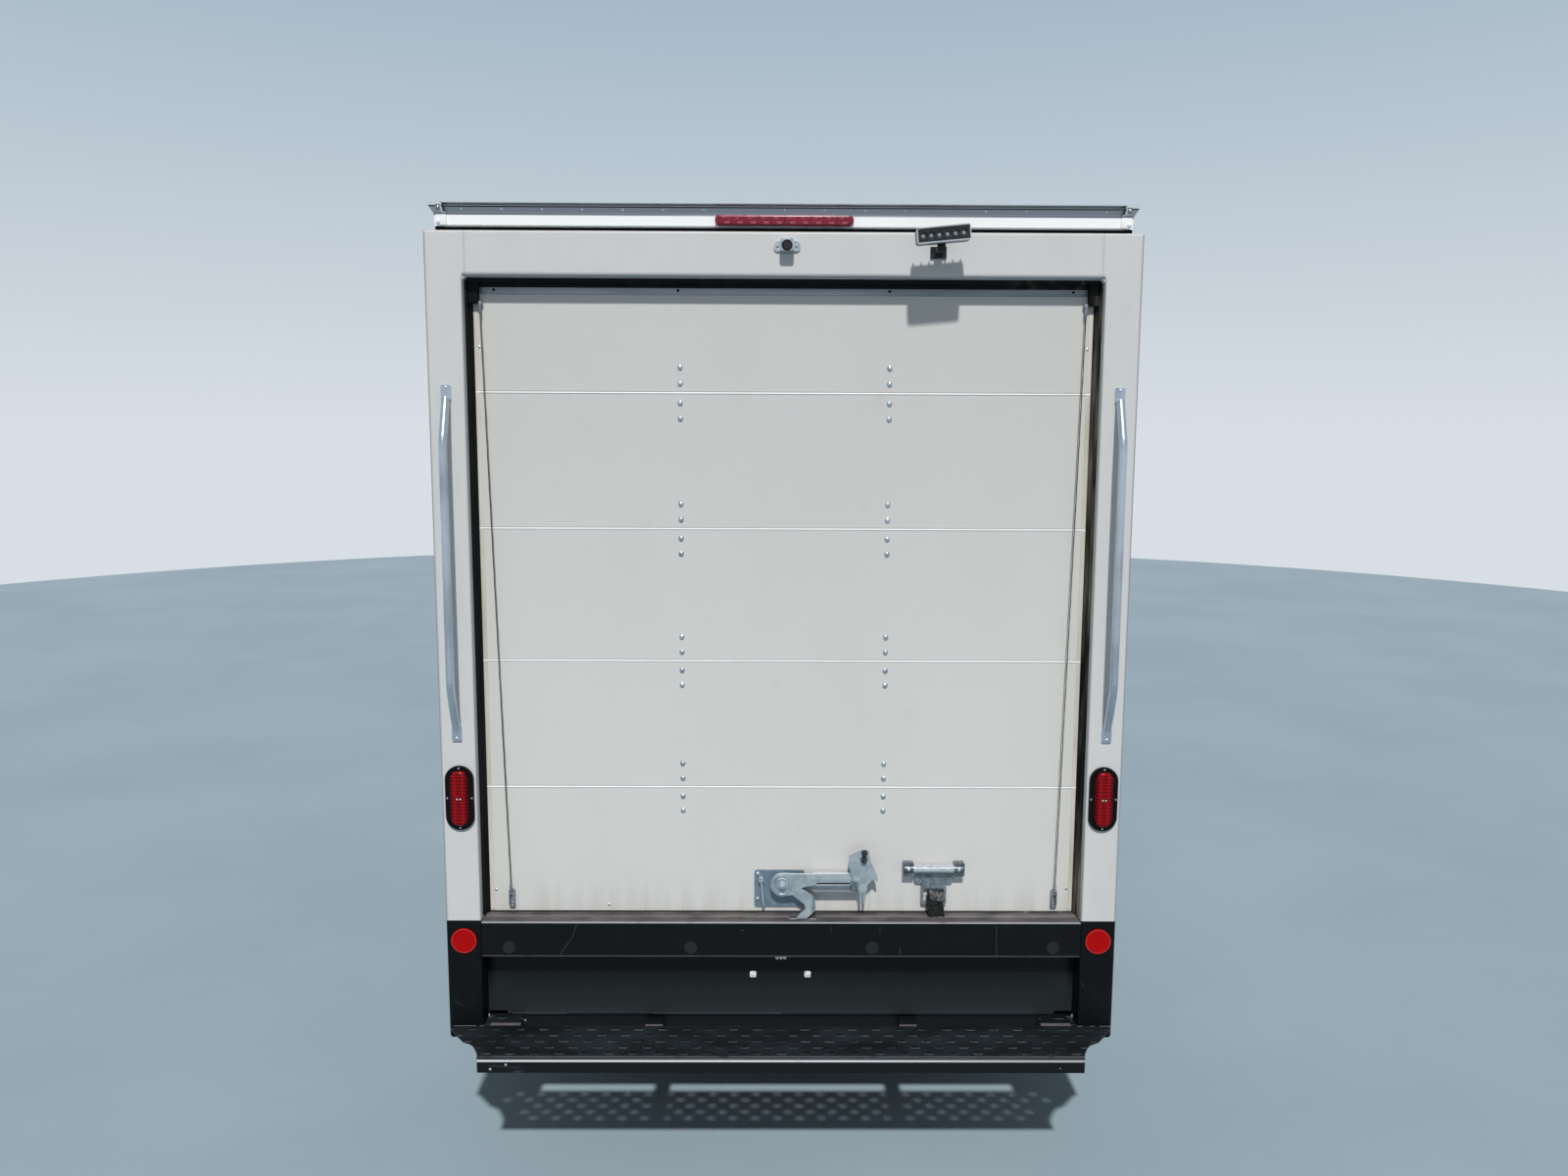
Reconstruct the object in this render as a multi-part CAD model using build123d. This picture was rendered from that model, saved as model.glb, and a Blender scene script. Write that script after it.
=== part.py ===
from build123d import *
import math
import os

os.makedirs("parts", exist_ok=True)

# A box truck on a cutaway van cab: a 12 foot by 84 inch dry freight body with a roll-up rear door.
# Millimetres. X is to the vehicle's right, Y is forward, Z is up from the ground. The origin is on
# the ground, midway along the vehicle, on its centre plane.

# Lengths along the vehicle
rear_overhang = 1702.0      # rear axle to the rear frame's outer face
front_overhang = 880.0      # front axle to the bumper's face
step_depth = 198.0
box_length = 3658.0
cab_gap = 50.0              # between the cab's back and the body's front wall
cab_length = 1525.0         # front axle to the cab's back

# Heights
deck_z = 787.0
step_top_z = 431.0
rail_bottom_z = 460.0
rail_height = 180.0
cab_bottom_z = 430.0
belt_z = 1300.0
cab_roof_z = 2095.0

# Rear frame and door, measured on the photograph
frame_width = 2134.0
frame_height = 2134.0       # deck to the header's top
post_width = 110.0
header_height = 133.0
post_depth = 58.0
panel_thickness = 22.0
panel_tops = [424.0, 833.0, 1249.0, 1665.0, 2081.0]
panel_seam = 2.0

# Wheels
tyre_radius = 387.5
tyre_width = 248.0
rim_radius = 196.0
rim_width = 190.0
front_track = 1742.0
rear_track = 1732.0
spindle_radius = 32.0

# Clearances
running_fit = 0.06
rest_gap = 0.3              # between pieces that only meet
shut_gap = 6.0              # round doors and the bonnet
past = 60.0                 # how far a cutting shape runs past what it cuts

# Places worked out from the lengths
wheelbase = box_length + cab_gap + cab_length - rear_overhang
overall = wheelbase + rear_overhang + front_overhang + step_depth
frame_y = step_depth - overall / 2
rear_axle_y = frame_y + rear_overhang
front_axle_y = rear_axle_y + wheelbase
box_front_y = frame_y + box_length
bumper_y = front_axle_y + front_overhang
axle_z = tyre_radius
frame_half = frame_width / 2
opening_half = frame_half - post_width
opening_height = frame_height - header_height
frame_top_z = deck_z + frame_height
rail_top_z = rail_bottom_z + rail_height
body_back_y = frame_y + post_depth
door_face_y = body_back_y + rest_gap


def outline(rows):
    """A flat face from rows of (u, v, corner radius)."""
    rounded = []
    for index, (u, v, radius) in enumerate(rows):
        here = Vector(u, v)
        back = (Vector(*rows[index - 1][:2]) - here).normalized()
        ahead = (Vector(*rows[(index + 1) % len(rows)][:2]) - here).normalized()
        half_angle = math.radians(back.get_angle(ahead)) / 2
        inward = (back + ahead).normalized()
        reach = radius / math.tan(half_angle)
        middle = here + inward * (radius / math.sin(half_angle) - radius)
        rounded.append((here + back * reach, middle, here + ahead * reach, radius))
    edges = []
    for index, (start, middle, end, radius) in enumerate(rounded):
        if radius > 0:
            edges.append(ThreePointArc(start, middle, end))
        edges.append(Line(end, rounded[(index + 1) % len(rounded)][0]))
    return make_face(edges)


def both_sides(rows):
    """Rows (u, v, radius) of the right half, followed by their mirror image in reverse."""
    return rows + [(-u, v, radius) for u, v, radius in reversed(rows) if u != 0]


def oblong(u0, u1, v0, v1, radius):
    """Rows of a rectangle with one radius at all four corners."""
    return [(u0, v0, radius), (u0, v1, radius), (u1, v1, radius), (u1, v0, radius)]


def along_x(rows, x0, x1):
    """Rows are (y, z, radius)."""
    return Plane.YZ.offset(x0) * extrude(outline(rows), x1 - x0)


def along_y(rows, y0, y1):
    """Rows are (x, z, radius)."""
    return Plane.XZ.offset(-y1) * extrude(outline(rows), y1 - y0)


def along_z(rows, z0, z1):
    """Rows are (x, y, radius)."""
    return Plane.XY.offset(z0) * extrude(outline(rows), z1 - z0)


def block(x0, x1, y0, y1, z0, z1):
    middle = Vector((x0 + x1) / 2, (y0 + y1) / 2, (z0 + z1) / 2)
    return Pos(middle) * Box(abs(x1 - x0), abs(y1 - y0), abs(z1 - z0))


def rod(start, end, radius):
    """A round bar between two points."""
    axis = Vector(*end) - Vector(*start)
    place = Plane(origin=start, z_dir=axis)
    return place * extrude(Circle(radius), axis.length)


def disc_x(x0, x1, y, z, radius):
    return rod((x0, y, z), (x1, y, z), radius)


def disc_y(x, z, y0, y1, radius):
    return rod((x, y0, z), (x, y1, z), radius)


def mirrored(shape):
    return mirror(shape, Plane.YZ)


def save(name, shape):
    export_step(shape, "parts/" + name + ".step")


# Chassis: two C rails with the crossmembers between their webs
rail_outer = 431.8
rail_flange = 65.0
rail_wall = 8.0
rail_corner = 8.0
rail_back_y = frame_y + 110.0
rail_front_y = bumper_y - 90.0
crossmember_width = 60.0
crossmember_height = 102.0
crossmember_wall = 8.0
crossmember_bottom_z = rail_top_z - rail_wall - crossmember_height
bearing_y = rear_axle_y + 1650.0    # the crossmember that carries the propshaft's bearing
crossmember_places = (
    rail_back_y + crossmember_width,
    rear_axle_y - 820.0,
    rear_axle_y + 760.0,
    bearing_y,
    front_axle_y - 1180.0,
    front_axle_y + 720.0,
)


def chassis():
    inner = rail_outer - rail_flange
    web = rail_outer - rail_wall
    rail = along_y([
        (rail_outer, rail_bottom_z, rail_corner),
        (rail_outer, rail_top_z, rail_corner),
        (inner, rail_top_z, 0),
        (inner, rail_top_z - rail_wall, 0),
        (web, rail_top_z - rail_wall, 0),
        (web, rail_bottom_z + rail_wall, 0),
        (inner, rail_bottom_z + rail_wall, 0),
        (inner, rail_bottom_z, 0),
    ], rail_back_y, rail_front_y)
    save("frame_rails", rail + mirrored(rail))
    bars = Part()
    low = crossmember_bottom_z
    high = low + crossmember_height
    half = crossmember_width / 2
    for y in crossmember_places:
        bar = block(-web, web, y - half, y + half, low, high)
        bars += bar - block(-web, web, y - half + crossmember_wall, y + half, low + crossmember_wall,
                            high - crossmember_wall)
    save("crossmembers", bars)


# Engine and gearbox: one plain block with the gearbox behind it and its feet on the rails
engine_half = 270.0
engine_back = 250.0         # behind the front axle
engine_front = 430.0
engine_bottom_z = rail_bottom_z + 20.0
engine_top_z = 1050.0
engine_edge = 30.0
gearbox_half = 150.0
gearbox_length = 700.0
gearbox_bottom_z = rail_bottom_z - 30.0
gearbox_top_z = rail_top_z - 5.0
gearbox_back_y = front_axle_y - engine_back - gearbox_length
foot_half = 60.0
foot_bottom_z = rail_bottom_z + 40.0
foot_height = 60.0


def engine():
    back = front_axle_y - engine_back
    body = block(-engine_half, engine_half, back, front_axle_y + engine_front, engine_bottom_z, engine_top_z)
    body = fillet(body.edges().filter_by(Axis.Y), engine_edge)
    body += block(-gearbox_half, gearbox_half, gearbox_back_y, back, gearbox_bottom_z, gearbox_top_z)
    web = rail_outer - rail_wall
    body += block(-web, web, front_axle_y - foot_half, front_axle_y + foot_half, foot_bottom_z,
                  foot_bottom_z + foot_height)
    save("engine_block", body)


# Front suspension: a subframe under the rails with upper and lower wishbones and coil struts
kingpin_inset = 60.0        # from the wheel's centre plane
kingpin_x = front_track / 2 - kingpin_inset
ball_spread = 100.0         # of each ball pin above or below the axle
ball_low_z = axle_z - ball_spread
ball_high_z = axle_z + ball_spread
arm_thickness = 28.0
arm_root_half = 150.0
arm_tip_half = 20.0
arm_corner = 10.0
ball_pin_radius = 10.0
subframe_half_x = 400.0
subframe_half_y = 170.0
subframe_top_z = rail_bottom_z - 115.0
subframe_cheek = 72.0
strut_radius = 55.0
strut_foot_x = 570.0
strut_head_x = 540.0
strut_lean_top_z = rail_top_z + 60.0
strut_cup_half = 75.0
tower_half = 110.0
tower_width = 40.0
arm_slot_half = 24.0
arm_slot_outer = kingpin_x - 71.0


def wishbone(side, root, z):
    tip = side * kingpin_x
    end = tip + side * arm_tip_half
    y = front_axle_y
    arm = along_z([
        (side * root, y - arm_root_half, arm_corner),
        (side * root, y + arm_root_half, arm_corner),
        (tip, y + arm_tip_half, 0),
        (end, y + arm_tip_half, arm_tip_half - 1),
        (end, y - arm_tip_half, arm_tip_half - 1),
        (tip, y - arm_tip_half, 0),
    ], z, z + arm_thickness)
    slot_inner = strut_foot_x + strut_radius
    return arm - block(side * slot_inner, side * arm_slot_outer, y - arm_slot_half, y + arm_slot_half, 0,
                       rail_top_z)


def front_suspension():
    y = front_axle_y
    low_z = ball_low_z - arm_thickness
    pieces = block(-subframe_half_x, subframe_half_x, y - subframe_half_y, y + subframe_half_y, low_z,
                   subframe_top_z)
    for side in (-1, 1):
        cheek_inner = side * (rail_outer - subframe_cheek)
        pieces += block(cheek_inner, side * rail_outer, y - subframe_half_y, y + subframe_half_y,
                        subframe_top_z - arm_thickness, rail_bottom_z)
        low = wishbone(side, subframe_half_x - 5, low_z)
        high = wishbone(side, rail_outer - 1, ball_high_z)
        high -= block(0, side * rail_outer, y - past - arm_root_half, y + past + arm_root_half, 0, rail_top_z)
        tower = block(side * rail_outer, side * (rail_outer + tower_width), y - tower_half, y + tower_half,
                      subframe_top_z, rail_top_z - tower_width)
        strut = rod((side * strut_foot_x, y, ball_low_z - 4), (side * strut_head_x, y, strut_lean_top_z),
                    strut_radius)
        cup = block(side * rail_outer, side * (strut_head_x + strut_cup_half), y - strut_cup_half,
                    y + strut_cup_half, rail_top_z, strut_lean_top_z + 10)
        bore = rod((side * kingpin_x, y, low_z - past), (side * kingpin_x, y, ball_high_z + past),
                   ball_pin_radius + running_fit)
        pieces += (low + high + tower + strut + cup) - bore
    save("front_suspension", pieces)


# Steering knuckles, each with its spindle, ball pins, steering arm and brake shield
knuckle_half = 26.0
knuckle_half_y = 30.0
shield_radius = 140.0
shield_thickness = 6.0
spindle_past = 38.0         # beyond the wheel's centre plane
steering_arm_reach = 130.0
steering_arm_drop = 60.0
steering_arm_height = 25.0


def knuckle(side):
    y = front_axle_y
    pin_x = side * kingpin_x
    inner = side * (kingpin_x - knuckle_half)
    outer = side * (kingpin_x + knuckle_half)
    body = block(inner, outer, y - knuckle_half_y, y + knuckle_half_y, ball_low_z + rest_gap,
                 ball_high_z - rest_gap)
    body += rod((pin_x, y, ball_low_z - arm_thickness), (pin_x, y, ball_high_z + arm_thickness),
                ball_pin_radius)
    body += disc_x(outer, outer + side * shield_thickness, y, axle_z, shield_radius)
    body += disc_x(outer, side * (front_track / 2 + spindle_past), y, axle_z, spindle_radius)
    arm_z = axle_z - steering_arm_drop
    return body + block(inner, outer, y - steering_arm_reach, y - knuckle_half_y + 5, arm_z,
                        arm_z + steering_arm_height)


# Rear axle: a tube with the differential, brake drums and two leaf springs under the rails
axle_tube_radius = 44.0
differential_radius = 150.0
differential_half = 120.0
pinion_radius = 60.0
pinion_length = 230.0
drum_radius = 150.0
drum_width = 50.0
drum_inset = 41.0           # from the wheel's centre plane to the drum's outer face
spring_x = 500.0
spring_width = 65.0
spring_half_length = 640.0
spring_thickness = 42.0
spring_rise = 120.0
spring_seat_z = axle_z + axle_tube_radius + 4.0
spring_eye_radius = 32.0
clamp_half_x = 45.0
clamp_half_y = 60.0
hanger_half = 26.0
hanger_wall = 14.0


def leaf_spring():
    """The arched pack of leaves seen from the side, with its lowest point at the origin."""
    top = spring_rise + spring_thickness
    low_left = (-spring_half_length, spring_rise)
    low_right = (spring_half_length, spring_rise)
    high_left = (-spring_half_length, top)
    high_right = (spring_half_length, top)
    return make_face([
        Line(high_left, low_left),
        ThreePointArc(low_left, (0, 0), low_right),
        Line(low_right, high_right),
        ThreePointArc(high_right, (0, spring_thickness), high_left),
    ])


def rear_axle():
    y = rear_axle_y
    drum_outer = rear_track / 2 - drum_inset
    pieces = disc_x(drum_width - drum_outer, drum_outer - drum_width, y, axle_z, axle_tube_radius)
    bulb = Pos(0, y, axle_z) * Sphere(differential_radius)
    reach = differential_radius
    pieces += bulb & block(-differential_half, differential_half, y - reach, y + reach, axle_z - reach,
                           axle_z + reach)
    pieces += rod((0, y, axle_z), (0, y + pinion_length, axle_z), pinion_radius)
    half = spring_width / 2
    for side in (-1, 1):
        pieces += disc_x(side * (drum_outer - drum_width), side * drum_outer, y, axle_z, drum_radius)
        pieces += disc_x(side * (drum_outer - drum_width), side * (rear_track / 2 + spindle_past), y, axle_z,
                         spindle_radius)
        leaves = Plane.YZ.offset(side * spring_x - half) * extrude(leaf_spring(), spring_width)
        pieces += Pos(0, y, spring_seat_z) * leaves
        pieces += block(side * spring_x - clamp_half_x, side * spring_x + clamp_half_x, y - clamp_half_y,
                        y + clamp_half_y, axle_z - 20, spring_seat_z + spring_thickness + 18)
        for end in (-1, 1):
            eye_y = y + end * spring_half_length
            eye_z = spring_seat_z + spring_rise + spring_thickness / 2
            pieces += disc_x(side * spring_x - half, side * spring_x + half, eye_y, eye_z, spring_eye_radius)
            pieces += block(side * rail_outer, side * (spring_x + half + hanger_wall), eye_y - hanger_half,
                            eye_y + hanger_half, eye_z - 5, rail_top_z)
    save("rear_axle", pieces)


# Propshaft from the gearbox to the axle's pinion, with a bearing under the middle crossmember
propshaft_radius = 38.0
gearbox_shaft_z = rail_bottom_z + 10.0
bearing_half_x = 60.0
bearing_half_y = 20.0
bearing_drop = 55.0


def propshaft():
    start = Vector(0, rear_axle_y + pinion_length + rest_gap, axle_z)
    end = Vector(0, gearbox_back_y - rest_gap, gearbox_shaft_z)
    shaft = rod(start, end, propshaft_radius)
    shaft &= block(-past - propshaft_radius, past + propshaft_radius, start.Y, end.Y, 0, rail_top_z)
    middle_z = start.Z + (end.Z - start.Z) * (bearing_y - start.Y) / (end.Y - start.Y)
    bearing = block(-bearing_half_x, bearing_half_x, bearing_y - bearing_half_y, bearing_y + bearing_half_y,
                    middle_z - bearing_drop, crossmember_bottom_z)
    save("propshaft", shaft + bearing)


# Wheels: a pressed steel disc rim with round hand holes, and a ribbed tyre
rim_wall = 8.0
rim_lip = 20.0              # how far the flange stands up from the bead seat
hub_radius = 62.0
hub_back = 22.0
hub_front = 46.0
disc_valley_radius = 112.0
disc_crest_radius = 158.0
hand_hole_circle = 132.0
hand_hole_radius = 21.0
hand_holes = 8
bead_inset = 13.0
shoulder_radius = tyre_radius - 21.5
sidewall_radius = 285.0
tread_inset = 34.0
groove_depth = 10.0
groove_width = 12.0
groove_pitch = 44.0
groove_count = 4


def rim_section():
    """Rows (distance outboard, radius from the axle, corner radius) of the rim and its disc."""
    half = rim_width / 2
    flange = rim_radius + rim_lip
    barrel = rim_radius - rim_wall
    bore = spindle_radius + running_fit
    return [
        (-half, barrel + 3, 0),
        (-half, flange, 3),
        (-half + 10, flange, 3),
        (-half + 12, rim_radius, 2),
        (half - 12, rim_radius, 2),
        (half - 10, flange, 3),
        (half, flange, 3),
        (half, barrel + 3, 3),
        (34, barrel, 6),
        (52, disc_crest_radius, 14),
        (22, disc_valley_radius, 14),
        (hub_front, hub_radius + 6, 4),
        (hub_front + 8, 0, 0),
        (hub_front, 0, 0),
        (hub_front, bore, 0),
        (-hub_back, bore, 0),
        (-hub_back, hub_radius, 4),
        (10, hub_radius, 6),
        (10, disc_valley_radius + 6, 12),
        (40, disc_crest_radius + 2, 10),
        (18, barrel, 4),
    ]


def tyre_section():
    """Rows (distance outboard, radius from the axle, corner radius) of the tyre."""
    bead = rim_width / 2 - bead_inset
    half = tyre_width / 2
    inboard = [
        (-bead, rim_radius + rest_gap, 6),
        (-bead, rim_radius + rim_lip + 4, 6),
        (-half, sidewall_radius, 60),
        (-half + 12, shoulder_radius, 30),
        (-half + tread_inset, tyre_radius, 14),
    ]
    return inboard + [(-along, radius, corner) for along, radius, corner in reversed(inboard)]


def wheel(side, centre_x, y):
    rim = revolve(outline(rim_section()), Axis.X)
    for index in range(hand_holes):
        angle = math.tau * index / hand_holes
        spot = Pos(0, hand_hole_circle * math.cos(angle), hand_hole_circle * math.sin(angle))
        rim -= spot * Rot(0, 90, 0) * Cylinder(hand_hole_radius, rim_width)
    tyre = revolve(outline(tyre_section()), Axis.X)
    for index in range(groove_count):
        middle = (index - (groove_count - 1) / 2) * groove_pitch
        half = groove_width / 2
        ring = oblong(middle - half, middle + half, tyre_radius - groove_depth, tyre_radius + 5, 0)
        tyre -= revolve(outline(ring), Axis.X)
    if side < 0:
        rim = mirrored(rim)
        tyre = mirrored(tyre)
    place = Pos(side * centre_x, y, axle_z)
    return place * rim, place * tyre


# Cab body: a lower body and a greenhouse, each the common part of its side, front and plan outlines.
# Places along the cab are measured from the front axle, forward positive.
cab_half = 1008.0
sill_inset = 23.0           # from cab_half to the body's foot
belt_inset = 12.0
roof_edge_inset = 136.0
roof_edge_z = cab_roof_z - 110.0
cab_low_z = 720.0           # where the flank starts to lean in
cab_waist_z = 980.0         # where the cab is widest
screen_slope = 0.62         # backward lean for each unit of height
screen_corner_y = -290.0
cowl_y = 15.0
nose_y = front_overhang - 80.0
nose_top_z = belt_z - 270.0
fascia_bottom_z = 650.0
front_skin = 30.0
door_wall = 88.0
greenhouse_wall = 70.0
roof_wall = 48.0
back_wall = 40.0
cabin_floor_z = 690.0
floor_wall = 35.0
firewall_y = -120.0
firewall_wall = 35.0
cabin_corner = 30.0
arch_radius = tyre_radius + 47.5
arch_inner_x = front_track / 2 - 311.0
arch_lip = 30.0
arch_lip_height = 8.0
wheelhouse_wall = 20.0
bumper_top_z = 690.0
outside = cab_half + 100.0  # past everything on the cab's flanks


def cab_frame(shape):
    """Moves a cab shape from the front axle's frame into the vehicle's."""
    return Pos(0, front_axle_y, 0) * shape


def front_outline(inset):
    """The cab's outline seen from the front, as rows (x, z, radius)."""
    edge = cab_half - roof_edge_inset - inset
    return both_sides([
        (cab_half - sill_inset - inset, cab_bottom_z - 10, 0),
        (cab_half - 4 - inset, cab_low_z, 900),
        (cab_half - inset, cab_waist_z, 1200),
        (cab_half - belt_inset - inset, belt_z, 200),
        (edge, roof_edge_z, 110),
        (edge - 72, roof_edge_z + 77, 120),
        (0, cab_roof_z + 8 - inset / 2, 9000),
    ])


def lower_body(inset):
    """Everything under the belt line, from the cab's back to the nose."""
    side = along_x([
        (-cab_length + inset, cab_bottom_z, 0),
        (-cab_length + inset, belt_z - inset, 0),
        (20, belt_z - inset, 60),
        (nose_y - 240, belt_z - 120 - inset, 500),
        (nose_y - 60, belt_z - 200 - inset, 70),
        (nose_y - inset, nose_top_z, 45),
        (nose_y - 8 - inset, fascia_bottom_z, 20),
        (nose_y - 60 - inset, cab_bottom_z, 0),
    ], -outside, outside)
    front = along_y(front_outline(inset), -cab_length, nose_y + past)
    plan = along_z(both_sides([
        (cab_half - inset, -cab_length - past, 0),
        (cab_half - inset, nose_y - 420, 500),
        (cab_half - 48 - inset, nose_y - 160, 160),
        (cab_half - 208 - inset, nose_y - 40 - inset, 150),
        (0, nose_y + 6 - inset, 5000),
    ]), 0, cab_roof_z)
    return side & front & plan


def greenhouse(inset, roof_inset, back_inset=0.0):
    """Everything over the belt line, with the screen leaning back over its curved foot."""
    side = along_x([
        (-cab_length + back_inset, belt_z - 1, 0),
        (-cab_length + back_inset, cab_roof_z - 15 - roof_inset, 70),
        (-430, cab_roof_z - roof_inset, 260),
        (60, belt_z - 1, 0),
    ], -outside, outside)
    front = along_y(front_outline(inset), -cab_length, 200)
    base = Plane.XY.offset(belt_z - 1) * outline(both_sides([
        (outside, -2 * cab_length, 0),
        (outside, screen_corner_y - inset, 130),
        (cab_half - 248, -110 - inset, 500),
        (0, -inset, 2600),
    ]))
    lean = extrude(base, cab_roof_z - belt_z + 300, dir=(0, -screen_slope, 1))
    return side & front & lean


def arch(radius):
    """The round space over both front wheels."""
    wells = Part()
    for side in (-1, 1):
        wells += disc_x(side * arch_inner_x, side * (cab_half + past), 0, axle_z, radius)
    return wells


# Door and window openings, seen from the side and from the front
door_front_y = -500.0
door_rear_y = 95.0 - cab_length
door_bottom_z = cab_bottom_z + 70.0
door_top_z = cab_roof_z - 100.0
pillar_lean = 355.0
window_sill_z = belt_z + 45.0
window_top_z = door_top_z - 70.0
screen_top_z = cab_roof_z - 120.0


def door_outline(inset):
    """The door's outline seen from the side, as rows (y, z, radius)."""
    return [
        (door_front_y - inset, door_bottom_z + inset, 30),
        (door_front_y - inset, belt_z + 10, 60),
        (door_front_y - pillar_lean - inset, door_top_z - inset, 60),
        (door_rear_y + 12 + inset, door_top_z - inset, 90),
        (door_rear_y + inset, belt_z, 0),
        (door_rear_y + inset, door_bottom_z + inset, 40),
    ]


def window_outline(inset):
    """The door's window seen from the side, as rows (y, z, radius)."""
    return [
        (door_front_y - 70 - inset, window_sill_z + inset, 25),
        (door_front_y - pillar_lean - 25 - inset, window_top_z - inset, 40),
        (door_rear_y + 90 + inset, window_top_z - inset, 60),
        (door_rear_y + 80 + inset, window_sill_z + inset, 30),
    ]


def screen_outline(inset):
    """The windscreen seen from the front, as rows (x, z, radius)."""
    return both_sides([
        (cab_half - 128 - inset, window_sill_z + inset, 60),
        (cab_half - 243 - inset, screen_top_z - inset, 90),
        (0, screen_top_z + 15 - inset, 6000),
    ])


# Door hinges: a leaf on the pillar between two barrels on the door, on one pin
hinge_x = cab_half - 5.0
hinge_y = door_front_y - 5.0
hinge_heights = (cab_bottom_z + 230.0, belt_z - 140.0)
hinge_half = 28.0
hinge_barrel_radius = 13.0
hinge_pin_radius = 7.0
hinge_leaf_inner = 43.0
hinge_leaf_length = 50.0
hinge_clear = 22.0
door_barrel_radius = 11.0


def hinge_bracket(z):
    """A hinge leaf on the right side's pillar, without its bore."""
    inner = hinge_x - hinge_leaf_inner
    low = z - hinge_half
    high = z + hinge_half
    leaf = block(inner, hinge_x + hinge_barrel_radius, hinge_y, hinge_y + hinge_leaf_length, low, high)
    barrel = rod((hinge_x, hinge_y, low), (hinge_x, hinge_y, high), hinge_barrel_radius)
    return leaf + barrel + block(inner, hinge_x, hinge_y - hinge_barrel_radius, hinge_y, low, high)


# Bonnet, lamps and grille at the front, which the fenders are cut for
bonnet_half = cab_half - 218.0
bonnet_front_z = nose_top_z + 45.0
bonnet_axis_y = 27.0
bonnet_axis_z = belt_z - 14.0
bonnet_pin_radius = 6.0
bonnet_pin_inner_x = 590.0
bonnet_pin_outer_x = 638.0
bonnet_ear_width = 20.0
bonnet_ear_radius = 9.0
cab_ear_inner_x = 612.0
cab_ear_radius = 9.5
bonnet_back_y = bonnet_axis_y + cab_ear_radius + 5.5
bulge_height = 8.0
grille_half = cab_half - 468.0
lamp_bottom_z = bumper_top_z + 170.0
lamp_top_z = bonnet_front_z - 15.0
lamp_depth = 85.0
lamp_reach = 200.0          # how far the lamp wraps round the nose
lamp_corner = 25.0

# Engine cover between the two footwells
doghouse_half = 300.0
doghouse_back_y = -420.0
doghouse_top_z = 1090.0
doghouse_wall = 15.0
underbody_half = 620.0


def lamp_space():
    """The right and left headlamps' apertures, seen from the front and cut slanting at the side."""
    space = Part()
    for side in (-1, 1):
        rows = [
            (side * (grille_half + 8), lamp_bottom_z, lamp_corner),
            (side * outside, lamp_bottom_z + 20, 0),
            (side * outside, lamp_top_z, 0),
            (side * (grille_half + 8), lamp_top_z, lamp_corner),
        ]
        space += along_y(rows, nose_y - lamp_reach, nose_y + past)
    return space & along_x([
        (nose_y - lamp_reach, lamp_top_z + 10, 0),
        (nose_y - lamp_reach + 70, lamp_bottom_z - 10, 0),
        (nose_y + past, lamp_bottom_z - 10, 0),
        (nose_y + past, lamp_top_z + 10, 0),
    ], -outside, outside)


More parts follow.
